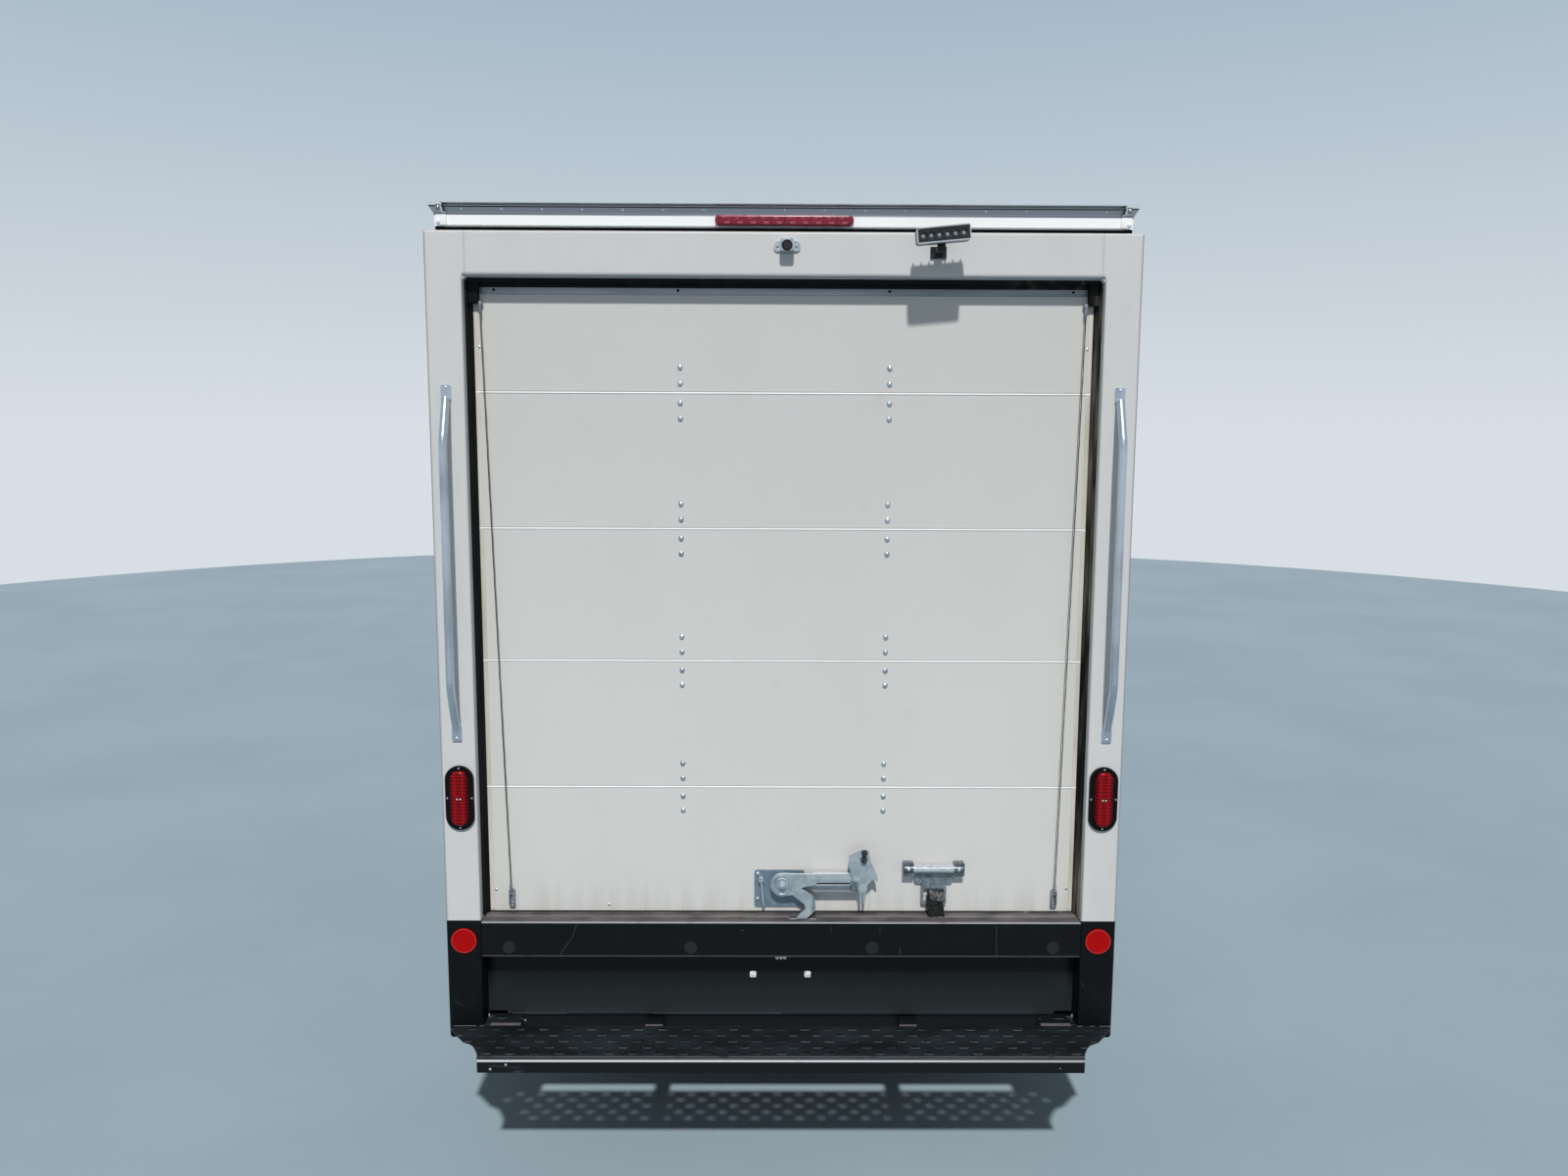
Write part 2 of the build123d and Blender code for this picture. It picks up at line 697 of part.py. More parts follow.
def cab():
    low = lower_body(0)
    inner_front = lower_body(front_skin)
    top = greenhouse(0, 0)
    cabin_low = along_x([
        (-cab_length + back_wall, cabin_floor_z, cabin_corner),
        (-cab_length + back_wall, belt_z + 5, 0),
        (firewall_y, belt_z + 5, 0),
        (firewall_y, cabin_floor_z, cabin_corner),
    ], -cab_half, cab_half)
    cabin_low &= along_y(front_outline(door_wall), -cab_length, nose_y)
    cabin_low -= arch(arch_radius + wheelhouse_wall)
    cabin_top = greenhouse(greenhouse_wall, roof_wall, back_wall)
    cabin_top &= block(-cab_half, cab_half, -cab_length + back_wall, 200, belt_z, cab_roof_z)

    # What belongs to the fenders: the flanks beside the bonnet, lamps and grille
    flanks = Part()
    for side in (-1, 1):
        edge = side * outside
        flanks += block(side * (bonnet_half + shut_gap), edge, cowl_y, nose_y + past, 0, belt_z + 10)
        flanks += block(side * (cab_half - door_wall + 2), edge, door_front_y + shut_gap + 1, cowl_y, 0,
                        belt_z)
        flanks += block(side * grille_half, edge, cowl_y, nose_y + past, 0, bonnet_front_z - shut_gap)
    lamps = lamp_space()
    front_side = (low - inner_front - arch(arch_radius)) & flanks
    under_bumper = block(-outside, outside, arch_radius + 20, nose_y + past, 0, bumper_top_z + shut_gap)
    lip = (lower_body(-arch_lip_height) - low) & (arch(arch_radius + arch_lip) - arch(arch_radius))
    fenders = (front_side - lamps) + lip - under_bumper
    brackets = Part()
    pins = Part()
    for z in hinge_heights:
        leaf = cab_frame(hinge_bracket(z))
        brackets += leaf + mirrored(leaf)
        reach = hinge_half + hinge_clear
        pin = rod((hinge_x, hinge_y, z - reach), (hinge_x, hinge_y, z + reach),
                  hinge_pin_radius + running_fit)
        pins += cab_frame(pin + mirrored(pin))
    brackets -= pins
    save("front_fenders", cab_frame(fenders) - brackets)
    save("headlamps", cab_frame((low - lower_body(lamp_depth)) & lamps))

    # Shell: back, roof, pillars, floor, firewall and cowl
    rear_part = along_x([
        (-cab_length - 5, cab_bottom_z - 5, 0),
        (-cab_length - 5, belt_z, 0),
        (cowl_y, belt_z, 0),
        (cowl_y, belt_z - 75, 0),
        (firewall_y + firewall_wall, belt_z - 75, 0),
        (firewall_y + firewall_wall, cab_bottom_z - 5, 0),
    ], -outside, outside)
    shell = (low & rear_part) + top
    shell -= cabin_low
    shell -= cabin_top
    shell -= arch(arch_radius)
    shell -= front_side
    shell -= block(-underbody_half, underbody_half, -cab_length - 10, nose_y, 0, cabin_floor_z - floor_wall)
    over_belt = block(-cab_half, cab_half, -cab_length / 2, 200, belt_z, cab_roof_z)
    shell -= along_y(screen_outline(0), -cab_length / 2, 200) & over_belt
    door_hole = along_x(door_outline(-shut_gap), cab_half - 448, cab_half + past)
    shell -= door_hole + mirrored(door_hole)
    shell = cab_frame(shell) + brackets
    for side in (-1, 1):
        inner = side * cab_ear_inner_x
        outer = side * (bonnet_pin_outer_x + 2)
        ear = block(inner, outer, -20, bonnet_axis_y, belt_z - 40, bonnet_axis_z)
        ear += block(inner, outer, -20, bonnet_axis_y - cab_ear_radius, belt_z - 40, belt_z - 2)
        ear += disc_x(inner, outer, bonnet_axis_y, bonnet_axis_z, cab_ear_radius)
        shell += cab_frame(ear)
        shell -= cab_frame(disc_x(side * bonnet_pin_inner_x, side * (bonnet_pin_outer_x + 5), bonnet_axis_y,
                                  bonnet_axis_z, bonnet_pin_radius + running_fit))
    low_z = cabin_floor_z - floor_wall
    inner_half = doghouse_half - doghouse_wall
    doghouse = cab_frame(block(-doghouse_half, doghouse_half, doghouse_back_y, firewall_y + 1, low_z,
                               doghouse_top_z))
    tunnel = cab_frame(block(-inner_half, inner_half, doghouse_back_y + doghouse_wall,
                             firewall_y + firewall_wall + 1, 0, doghouse_top_z - doghouse_wall))
    save("cab_shell", (shell - tunnel) + (doghouse - tunnel))

    # Windscreen, a curved pane in the lean of the greenhouse's front
    pane = greenhouse(4, 4) - greenhouse(10, 4)
    pane &= along_y(screen_outline(rest_gap), -cab_length / 2, 200) & over_belt
    save("windscreen", cab_frame(pane))
    cab_doors(low, top, cabin_low + cabin_top)
    bonnet(low, inner_front)
    grille(low)


def door_swing():
    """The door's outline turned about the hinge: an edge inside it clears the pillars."""
    profile = Plane.YZ.offset(hinge_x) * outline([
        (hinge_y, door_bottom_z, 0),
        (hinge_y, door_top_z, 0),
        (door_rear_y + 11, door_top_z, 90),
        (door_rear_y - 1, belt_z, 0),
        (door_rear_y - 1, door_bottom_z, 40),
    ])
    return revolve(profile, Axis((hinge_x, hinge_y, 0), (0, 0, 1)))


def cab_doors(low, top, cabin):
    """A door as thick as the wall, with its hinge barrels, its pane and its mirror."""
    door = (low + top - cabin) & along_x(door_outline(0), door_wall, cab_half + past)
    door &= block(cab_half - 228, cab_half + past, -cab_length, 0, 0, cab_roof_z)
    door &= door_swing()
    door -= along_x(window_outline(0), cab_half - 408, cab_half + past)
    for z in hinge_heights:
        low_z = z - hinge_half - hinge_clear
        high_z = z + hinge_half + hinge_clear
        door -= block(hinge_x - 63, hinge_x + past, hinge_y - 36, 0, low_z, high_z)
        door += rod((hinge_x, hinge_y, low_z), (hinge_x, hinge_y, high_z), hinge_pin_radius)
        door += rod((hinge_x, hinge_y, low_z - 8), (hinge_x, hinge_y, z - hinge_half - 1),
                    door_barrel_radius)
        door += rod((hinge_x, hinge_y, z + hinge_half + 1), (hinge_x, hinge_y, high_z + 8),
                    door_barrel_radius)
    pane = (greenhouse(26, 4) - greenhouse(31, 4)) & along_x(window_outline(rest_gap), cab_half - 408,
                                                             cab_half + past)
    pane &= block(cab_half - 408, cab_half + past, -cab_length, 0, belt_z, cab_roof_z)
    shapes = {"mirror": mirror_right() - door, "door": door, "door_glass": pane}
    for name, shape in shapes.items():
        right = cab_frame(shape)
        save(name + "_right", right)
        save(name + "_left", mirrored(right))


def bonnet(low, inner_front):
    """The lid with a raised middle panel and two ears on its pins."""
    lid = (low - inner_front) & block(-bonnet_half, bonnet_half, bonnet_back_y, nose_y + past, bonnet_front_z,
                                      belt_z + 20)
    plan = along_z(both_sides([
        (bonnet_half * 0.55, bonnet_back_y + 50, 60),
        (bonnet_half * 0.42, nose_y - 110, 60),
    ]), bonnet_front_z, belt_z + 20)
    lid += (lower_body(-bulge_height) - low) & plan
    for side in (-1, 1):
        inner = side * (bonnet_pin_inner_x - 5)
        outer = side * (bonnet_pin_inner_x - 5 + bonnet_ear_width)
        lid += block(inner, outer, bonnet_axis_y, bonnet_back_y + 40, bonnet_axis_z - bonnet_ear_radius,
                     bonnet_axis_z + bonnet_ear_radius - 2)
        lid += disc_x(inner, outer, bonnet_axis_y, bonnet_axis_z, bonnet_ear_radius)
        lid += disc_x(side * bonnet_pin_inner_x, side * bonnet_pin_outer_x, bonnet_axis_y, bonnet_axis_z,
                      bonnet_pin_radius)
    save("bonnet", cab_frame(lid))


# Grille: a moulded plate with rows of slots on each side of a middle bar
grille_slots = 5
grille_border = 30.0
grille_bar_half = 22.0
grille_depth = 40.0
slot_height = 26.0


def grille(low):
    top_z = bonnet_front_z - shut_gap
    back_y = nose_y - 300
    plate = (low - lower_body(grille_depth)) & block(-grille_half, grille_half, back_y, nose_y + past,
                                                     fascia_bottom_z, top_z)
    first_z = bumper_top_z + 110.0
    pitch = (top_z - first_z) / grille_slots
    for index in range(grille_slots):
        z = first_z + pitch * (index + 0.5)
        for side in (-1, 1):
            plate -= block(side * grille_bar_half, side * (grille_half - grille_border), back_y,
                           nose_y + past, z - slot_height / 2, z + slot_height / 2)
    save("grille", cab_frame(plate))


# Front bumper: a bar that wraps round the nose, on two stays from the rails
bumper_bottom_z = 440.0
bumper_wall = 30.0
bumper_wrap = 380.0
bumper_corner = 110.0


def bumper_bar(inset):
    half = cab_half - sill_inset - inset
    return along_z(both_sides([
        (half, bumper_y - bumper_wrap - 5, 0),
        (half, bumper_y - bumper_corner - inset, bumper_corner),
        (cab_half - 308, bumper_y - 12 - inset, 700),
        (0, bumper_y - inset, 9000),
    ]), bumper_bottom_z, bumper_top_z)


def front_bumper():
    bar = bumper_bar(0) - bumper_bar(bumper_wall)
    bar -= block(-outside, outside, 0, bumper_y - bumper_wrap, 0, cab_roof_z)
    for side in (-1, 1):
        bar += block(side * (rail_outer - rail_flange), side * rail_outer, rail_front_y,
                     bumper_y - bumper_wall + 2, rail_bottom_z, rail_top_z)
    save("front_bumper", bar)


# Mirrors: a tall head on two arms from a foot on the door
mirror_reach = 172.0        # from the cab's flank to the head's middle
mirror_width = 190.0
mirror_height = 330.0
mirror_z = belt_z + 170.0
mirror_y = door_front_y - 75.0
mirror_back = 40.0
mirror_front = 50.0
mirror_corner = 40.0
mirror_edge = 30.0
mirror_foot_z = belt_z - 65.0
mirror_foot_half = 60.0
mirror_foot_half_y = 28.0
mirror_arm_radius = 13.0


def mirror_right():
    middle = cab_half + mirror_reach
    head = block(middle - mirror_width / 2, middle + mirror_width / 2, mirror_y - mirror_back,
                 mirror_y + mirror_front, mirror_z - mirror_height / 2, mirror_z + mirror_height / 2)
    head = fillet(head.edges().filter_by(Axis.Y), mirror_corner)
    head = fillet(head.faces().sort_by(Axis.Y)[-1].edges(), mirror_edge)
    pieces = head + block(cab_half - 28, cab_half + 10, mirror_y - mirror_foot_half_y,
                          mirror_y + mirror_foot_half_y, mirror_foot_z - mirror_foot_half,
                          mirror_foot_z + mirror_foot_half)
    # heights of each arm's foot and head
    for low, high in ((mirror_foot_z - 35, mirror_z - 120), (mirror_foot_z + 40, mirror_z - 20)):
        pieces += rod((cab_half - 3, mirror_y, low), (middle - 20, mirror_y, high), mirror_arm_radius)
    return pieces


# Cab interior: dashboard with the column, steering wheel and seats
seat_back_y = back_wall + 15.0 - cab_length
seat_x = 400.0
seat_half = 250.0
seat_base_half = 190.0
seat_base_height = 210.0
headrest_half = 130.0
headrest_post_x = 60.0
headrest_post_radius = 7.0
dash_half = cab_half - 113.0
dash_top_z = belt_z - 38.0
dash_bottom_z = doghouse_top_z + 2.0
column_x = -seat_x
column_y = firewall_y - 470.0       # the steering wheel's middle, behind the dashboard
seat_front_y = column_y - 270.0     # leaves knee room below the steering wheel
column_z = belt_z - 120.0
column_lean = 40.0          # degrees between the column and the ground
column_radius = 30.0
column_length = 290.0
column_top = 40.0           # below the steering wheel's plane
wheel_rim_radius = 190.0
wheel_rim_thickness = 15.0
hub_cap_radius = 44.0
shaft_radius = 12.0
shaft_length = 200.0
spoke_width = 34.0


def column_plane():
    lean = math.radians(column_lean)
    centre = (column_x, front_axle_y + column_y, column_z)
    return Plane(origin=centre, x_dir=(1, 0, 0), z_dir=(0, -math.cos(lean), math.sin(lean)))


def dashboard(place):
    dash = along_x([
        (firewall_y - 310, dash_bottom_z - 82, 40),
        (firewall_y - 320, dash_top_z - 82, 50),
        (firewall_y - 210, dash_top_z - 22, 60),
        (firewall_y - 30, dash_top_z, 0),
        (firewall_y - 0.5, dash_top_z, 0),
        (firewall_y - 0.5, dash_bottom_z, 0),
        (firewall_y - 180, dash_bottom_z, 60),
    ], -dash_half, dash_half)
    dash -= block(-doghouse_half, doghouse_half, doghouse_back_y, 0, 0, doghouse_top_z)
    column = place * Pos(0, 0, -column_top - column_length) * extrude(Circle(column_radius), column_length)
    bore = place * Pos(0, 0, -column_top - column_length - 1) * extrude(Circle(shaft_radius + running_fit),
                                                                       column_length + past)
    save("dashboard", (cab_frame(dash) + column) - bore)


def steering_wheel(place):
    wheel_shape = place * Torus(wheel_rim_radius, wheel_rim_thickness)
    wheel_shape += place * Pos(0, 0, 4 - column_top) * extrude(Circle(hub_cap_radius), column_top)
    wheel_shape += place * Pos(0, 0, -shaft_length) * extrude(Circle(shaft_radius), shaft_length - 20)
    for angle in (0, 180, 270):
        spoke = Pos(wheel_rim_radius / 2 + 10, 0, -8) * Box(wheel_rim_radius - 30, spoke_width, 12)
        wheel_shape += place * Rot(0, 0, angle) * spoke
    save("steering_wheel", wheel_shape)


def seats():
    """Each seat is a base, a cushion, a leaning back and a headrest on two posts."""
    y = seat_back_y
    front = seat_front_y
    floor = cabin_floor_z
    top = floor + seat_base_height
    chairs = Part()
    for x in (-seat_x, seat_x):
        chairs += block(x - seat_base_half, x + seat_base_half, y + 180, front - 40, floor, top)
        chairs += along_x([
            (y + 90, top, 40),
            (y + 90, top + 120, 40),
            (front - 20, top + 150, 50),
            (front, top, 40),
        ], x - seat_half, x + seat_half)
        chairs += along_x([
            (y + 60, top + 60, 20),
            (y, top + 700, 40),
            (y + 90, top + 710, 50),
            (y + 200, top + 100, 40),
        ], x - seat_half + 5, x + seat_half - 5)
        chairs += along_x([
            (y, top + 730, 30),
            (y - 5, top + 900, 30),
            (y + 70, top + 900, 40),
            (y + 80, top + 740, 30),
        ], x - headrest_half, x + headrest_half)
        for post_x in (x - headrest_post_x, x + headrest_post_x):
            chairs += rod((post_x, y + 40, top + 690), (post_x, y + 40, top + 750), headrest_post_radius)
    save("seats", cab_frame(chairs))


# Freight body: side walls, a front wall with rounded corners, the roof, and a deck on cross sills
wall_thickness = 40.0
wall_outer = frame_half - 12.0
wall_inner = wall_outer - wall_thickness
wall_bottom_z = deck_z - 110.0
wall_top_z = frame_top_z - 40.0
roof_top_z = frame_top_z + 81.0
roof_thickness = 44.0
nose_corner = 110.0
nose_edge = 70.0
nose_length = 150.0         # of the front wall's returns along the sides
nose_back_y = box_front_y - nose_length
body_arch_radius = tyre_radius + 82.5
skirt_height = 90.0
trim_height = 8.0           # of the bottom rail and the arch trim over the wall
arch_trim = 35.0
return_depth = 40.0         # of the rear frame's side returns


def side_walls():
    """The wall with its bottom rail and the trim round the wheel arch."""
    wall = block(wall_inner, wall_outer, body_back_y, nose_back_y, wall_bottom_z, wall_top_z)
    trim_back = body_back_y + return_depth
    wall += block(wall_outer, wall_outer + trim_height, trim_back, nose_back_y, wall_bottom_z,
                  wall_bottom_z + skirt_height)
    trim_outer = wall_outer + trim_height
    ring = disc_x(wall_outer, trim_outer, rear_axle_y, axle_z, body_arch_radius + arch_trim)
    wall += ring & block(wall_outer, trim_outer, trim_back, nose_back_y, wall_bottom_z, wall_top_z)
    wall -= disc_x(wall_inner - past, trim_outer + past, rear_axle_y, axle_z, body_arch_radius)
    save("side_walls", wall + mirrored(wall))


def front_wall():
    back = nose_back_y - past
    outer = block(-wall_outer, wall_outer, back - past, box_front_y, wall_bottom_z, roof_top_z)
    outer = fillet(outer.edges().filter_by(Axis.Z).group_by(Axis.Y)[-1], nose_corner)
    outer = fillet(outer.faces().sort_by(Axis.Y)[-1].edges().group_by(Axis.Z)[-1], nose_edge)
    inner = block(-wall_inner, wall_inner, back - 2 * past, box_front_y - wall_thickness, wall_bottom_z - 5,
                  roof_top_z - roof_thickness)
    inner = fillet(inner.edges().filter_by(Axis.Z).group_by(Axis.Y)[-1], nose_corner - wall_thickness)
    rest = block(-frame_half, frame_half, back - 2 * past, nose_back_y, 0, roof_top_z + past)
    save("front_wall", outer - inner - rest)


def roof_panel():
    save("roof_panel", block(-wall_inner, wall_inner, body_back_y, nose_back_y, roof_top_z - roof_thickness,
                             roof_top_z))


floor_thickness = 35.0
floor_back_gap = 120.0
sill_height = deck_z - floor_thickness - rail_top_z - 37.0
sill_width = 45.0
sill_pitch = 305.0
runner_width = 60.0
wheel_box_inner = rear_track / 2 - tyre_width / 2 - 42.0
wheel_box_half = tyre_radius + 82.5
wheel_box_top_z = axle_z + tyre_radius + 155.0
wheel_box_wall = 8.0


def box_floor():
    """Deck boards over two runners and a row of cross sills, with a box over each rear wheel."""
    back = body_back_y + floor_back_gap
    front = box_front_y - wall_thickness - 80
    board_z = deck_z - floor_thickness
    sill_z = board_z - sill_height
    deck = block(-wall_inner, wall_inner, back, front, board_z, deck_z)
    for index in range(int((front - back - 150) // sill_pitch) + 1):
        y = back + 30 + index * sill_pitch
        deck += block(-wall_inner, wall_inner, y, y + sill_width, sill_z, board_z)
    for side in (-1, 1):
        deck += block(side * (rail_outer - runner_width), side * rail_outer, back, front, rail_top_z, board_z)
        reach = wheel_box_half + wheel_box_wall
        deck += block(side * (wheel_box_inner - wheel_box_wall), side * wall_inner, rear_axle_y - reach,
                      rear_axle_y + reach, sill_z, wheel_box_top_z)
        deck -= block(side * wheel_box_inner, side * (wall_inner + 1), rear_axle_y - wheel_box_half,
                      rear_axle_y + wheel_box_half, 0, wheel_box_top_z - wheel_box_wall)
    save("box_floor", deck)


# Aluminium roof profiles: a flared drip rail along each side and the plate above the rear header
drip_top_z = frame_top_z + 86.0
drip_step_z = frame_top_z + 49.0
rear_plate_z = frame_top_z + 15.0
flare_half = wall_outer + 4.0


def roof_rails():
    side = along_y([
        (wall_inner, wall_top_z, 0),
        (wall_outer - 20, wall_top_z, 0),
        (wall_outer - 20, wall_top_z + 30, 0),
        (wall_outer - 16, drip_step_z, 6),
        (flare_half, drip_top_z - 6, 4),
        (flare_half, drip_top_z, 0),
        (wall_inner, drip_top_z, 0),
    ], frame_y + 20, nose_back_y)
    side -= block(0, frame_half, frame_y, body_back_y, 0, frame_top_z)
    rear = along_x([
        (frame_y + 8, rear_plate_z, 2),
        (frame_y + 8, drip_step_z, 2),
        (frame_y + 26, drip_step_z, 0),
        (frame_y + 26, drip_top_z - 10, 0),
        (frame_y + 6, drip_top_z - 6, 2),
        (frame_y + 6, drip_top_z, 0),
        (body_back_y, drip_top_z, 0),
        (body_back_y, frame_top_z, 0),
        (frame_y + 30, frame_top_z, 0),
        (frame_y + 30, rear_plate_z, 0),
    ], -wall_inner, wall_inner)
    save("roof_rails", side + mirrored(side) + rear)


# Rear frame: two posts and the header in one portal, with a return along each side wall
frame_corner = 5.0
opening_corner = 14.0
post_foot_drop = 38.0       # how far the posts reach below the step
post_foot_corner = 10.0


def rear_frame():
    low = step_top_z - post_foot_drop
    portal = along_y([
        (-frame_half, low, post_foot_corner),
        (-frame_half, frame_top_z, frame_corner),
        (frame_half, frame_top_z, frame_corner),
        (frame_half, low, post_foot_corner),
    ], frame_y, body_back_y)
    portal -= along_y([
        (-opening_half, low - 5, 0),
        (-opening_half, deck_z + opening_height, opening_corner),
        (opening_half, deck_z + opening_height, opening_corner),
        (opening_half, low - 5, 0),
    ], frame_y - past, body_back_y + past)
    for side in (-1, 1):
        portal += block(side * wall_outer, side * frame_half, body_back_y, body_back_y + return_depth,
                        step_top_z, wall_top_z - 5)
    save("rear_frame", portal)


# Roll-up door: panels joined by hinges behind each seam
door_half = opening_half + 28.0
door_bottom_gap = 10.0
outer_hinge_x = opening_half - 7.0
inner_hinge_x = 316.0
leaf_half = 32.0
leaf_reach = 90.0
leaf_thickness = 5.0
door_hinge_radius = 8.0


def roll_door():
    pieces = Part()
    inside_y = door_face_y + panel_thickness
    low = deck_z + door_bottom_gap
    for top in panel_tops:
        pieces += block(-door_half, door_half, door_face_y, inside_y, low, deck_z + top - panel_seam / 2)
        low = deck_z + top + panel_seam / 2
    for seam in panel_tops[:-1]:
        z = deck_z + seam
        for x in (-outer_hinge_x, -inner_hinge_x, inner_hinge_x, outer_hinge_x):
            pieces += block(x - leaf_half, x + leaf_half, inside_y - 1, inside_y + leaf_thickness,
                            z - leaf_reach, z + leaf_reach)
            pieces += disc_x(x - leaf_half, x + leaf_half, inside_y + door_hinge_radius, z, door_hinge_radius)
    save("roll_door", pieces)


# Rear sill: the sloped sill plate, the face below it with four plugs, the recess panel behind the
# step with the number plate's holes and two tabs that stand on the step's brackets, and the licence
# lamp under the face
sill_back_z = deck_z + 6.0
sill_front_z = deck_z - 8.0
sill_depth = 60.0
sill_reach = 118.0          # forward of the frame
face_bottom_z = deck_z - 120.0
recess_depth = 66.0
recess_wall = 8.0
recess_tuck = 40.0          # how far the recess panel reaches behind each post
recess_bottom_z = step_top_z + 8.0
recess_tab_wall = 6.0       # the tabs that stand on the step's brackets
recess_tab_rise = 50.0      # how far they reach up the panel's back
plug_places = (-870.0, -290.0, 290.0, 870.0)
plug_z = deck_z - 89.0
plug_radius = 20.5
plug_height = 3.0
plate_hole_spacing = 178.0
plate_hole_z = deck_z - 210.0
plate_hole_radius = 3.3
keeper_inner_x = 26.0       # the slot in the sill that the latch hook drops into
keeper_outer_x = 112.0
keeper_back = 20.0
keeper_front = 40.0
keeper_depth = 14.0
licence_lamp_half = 24.0
licence_lamp_height = 26.0
licence_lamp_depth = 44.0


def rear_sill():
    recess_y = frame_y + recess_depth
    sill = along_x([
        (frame_y, face_bottom_z, 0),
        (frame_y, sill_front_z, 3),
        (door_face_y, sill_back_z, 0),
        (body_back_y + sill_reach, sill_back_z, 0),
        (body_back_y + sill_reach, sill_back_z - sill_depth, 0),
        (recess_y + recess_wall, sill_back_z - sill_depth, 0),
        (recess_y + recess_wall, recess_bottom_z, 0),
        (recess_y, recess_bottom_z, 0),
        (recess_y, face_bottom_z, 0),
    ], -opening_half, opening_half)
    tucked = opening_half + recess_tuck
    sill += block(-tucked, tucked, recess_y, recess_y + recess_wall, recess_bottom_z, face_bottom_z)
    for side in (-1, 1):
        sill += block(side * step_bracket_inner_x, side * step_bracket_outer_x, recess_y + recess_wall,
                      recess_y + recess_wall + recess_tab_wall, step_top_z, recess_bottom_z + recess_tab_rise)
    for x in plug_places:
        sill += disc_y(x, plug_z, frame_y - plug_height, frame_y + 1, plug_radius)
    for x in (-plate_hole_spacing / 2, plate_hole_spacing / 2):
        sill -= disc_y(x, plate_hole_z, frame_y, recess_y + past, plate_hole_radius)
    sill -= block(keeper_inner_x, keeper_outer_x, door_face_y - keeper_front, door_face_y - keeper_back,
                  sill_back_z - keeper_depth, sill_back_z + 1)
    lamp = block(-licence_lamp_half, licence_lamp_half, recess_y - licence_lamp_depth, recess_y + 4,
                 face_bottom_z - licence_lamp_height, face_bottom_z)
    lamp = fillet(lamp.faces().sort_by(Axis.Z)[0].edges().group_by(Axis.Y)[0], 12)
    save("rear_sill", sill + lamp)


# Step bumper: a tread plate folded down along its rear edge, with swept corners and staggered punched
# openings. Two arms carry it from the rails, over a cross beam, and a bracket at each end meets the sill.
step_lip_height = 48.0
step_lip_half = frame_half - 134.0
step_bend = 8.0
step_wall = 5.0
step_corner = (              # x, depth behind the frame, radius
    (frame_half - 5, 0, 0),
    (frame_half - 5, 18, 8),
    (step_lip_half + 67, 97, 30),
    (step_lip_half + 35, 112, 60),
    (step_lip_half + 4, 172, 90),
    (step_lip_half, step_depth, 4),
)
step_arm_x = 412.0
step_arm_half = 28.0
step_arm_set_back = 30.0
step_beam_depth = 80.0       # forward of the frame
step_beam_wall = 8.0
step_bracket_inner_x = 843.0
step_bracket_outer_x = 938.0
tread_slot_length = 26.0
tread_slot_width = 9.0
tread_pitch = 76.0
tread_row_pitch = 37.0
tread_first_row = 20.0
tread_rows = 5
tread_wing_rows = 2          # rows that run out over the wings
tread_edge = 36.0


def step_bumper():
    bottom = step_top_z - step_lip_height
    under = step_top_z - step_wall
    front = frame_y - step_depth
    folded = along_x([
        (frame_y, under, 0),
        (frame_y, step_top_z, 0),
        (front, step_top_z, step_bend),
        (front, bottom, 0),
        (front + step_wall, bottom, 0),
        (front + step_wall, under, step_bend - step_wall),
    ], -frame_half, frame_half)
    plan = both_sides([(x, frame_y - depth, radius) for x, depth, radius in step_corner])
    shape = folded & along_z(plan, bottom - 1, step_top_z + 1)
    opening = extrude(SlotOverall(tread_slot_length, tread_slot_width), step_wall + 2)
    openings = []
    for row in range(tread_rows):
        half = (frame_half if row < tread_wing_rows else step_lip_half) - tread_edge
        columns = int((2 * half - tread_slot_length) // tread_pitch) + 1
        if columns % 2 == row % 2:
            columns -= 1
        for column in range(columns):
            x = (column - (columns - 1) / 2) * tread_pitch
            openings.append(Pos(x, frame_y - tread_first_row - row * tread_row_pitch, under - 1) * opening)
    shape -= openings
    beam_y = frame_y + step_beam_depth
    shape += block(-step_bracket_outer_x, step_bracket_outer_x, beam_y, beam_y + step_beam_wall, bottom,
                   step_top_z)
    for side in (-1, 1):
        inner = side * (step_arm_x - step_arm_half)
        outer = step_arm_x + step_arm_half
        shape += block(inner, side * outer, front + step_arm_set_back, rail_back_y + crossmember_width,
                       bottom, under)
        shape += block(inner, side * (outer - 6), rail_back_y + 1, rail_back_y + 150, bottom, rail_bottom_z)
        shape += block(side * step_bracket_inner_x, side * step_bracket_outer_x, frame_y - 1, beam_y + 1,
                       under, step_top_z)
    save("step_bumper", shape)


# Grab handles: a bowed tube between two end plates on each post
handle_x = frame_half - 53.0
handle_top_z = deck_z + 1659.0
handle_bottom_z = deck_z + 612.0
handle_bow = 58.0
handle_radius = 12.5
handle_bend = 110.0
handle_foot = 8.0
handle_plate_half = 15.0
handle_plate_height = 47.0
handle_plate_thickness = 6.0


def grab_handles():
    path = FilletPolyline(
        (0, frame_y - handle_foot, handle_bottom_z + 16),
        (0, frame_y - handle_bow, handle_bottom_z + 150),
        (0, frame_y - handle_bow, handle_top_z - 150),
        (0, frame_y - handle_foot, handle_top_z - 16),
        radius=handle_bend,
    )
    start = Plane(origin=path @ 0, z_dir=path % 0)
    bar = sweep(start * Circle(handle_radius), path=path)
    for low in (handle_bottom_z - 24, handle_top_z - 23):
        rows = oblong(-handle_plate_half, handle_plate_half, low, low + handle_plate_height, 5)
        bar += along_y(rows, frame_y - handle_plate_thickness, frame_y)
    bar -= block(-past, past, frame_y, frame_y + past, 0, frame_top_z)
    right = Pos(handle_x, 0, 0) * bar
    save("grab_handles", right + mirrored(right))


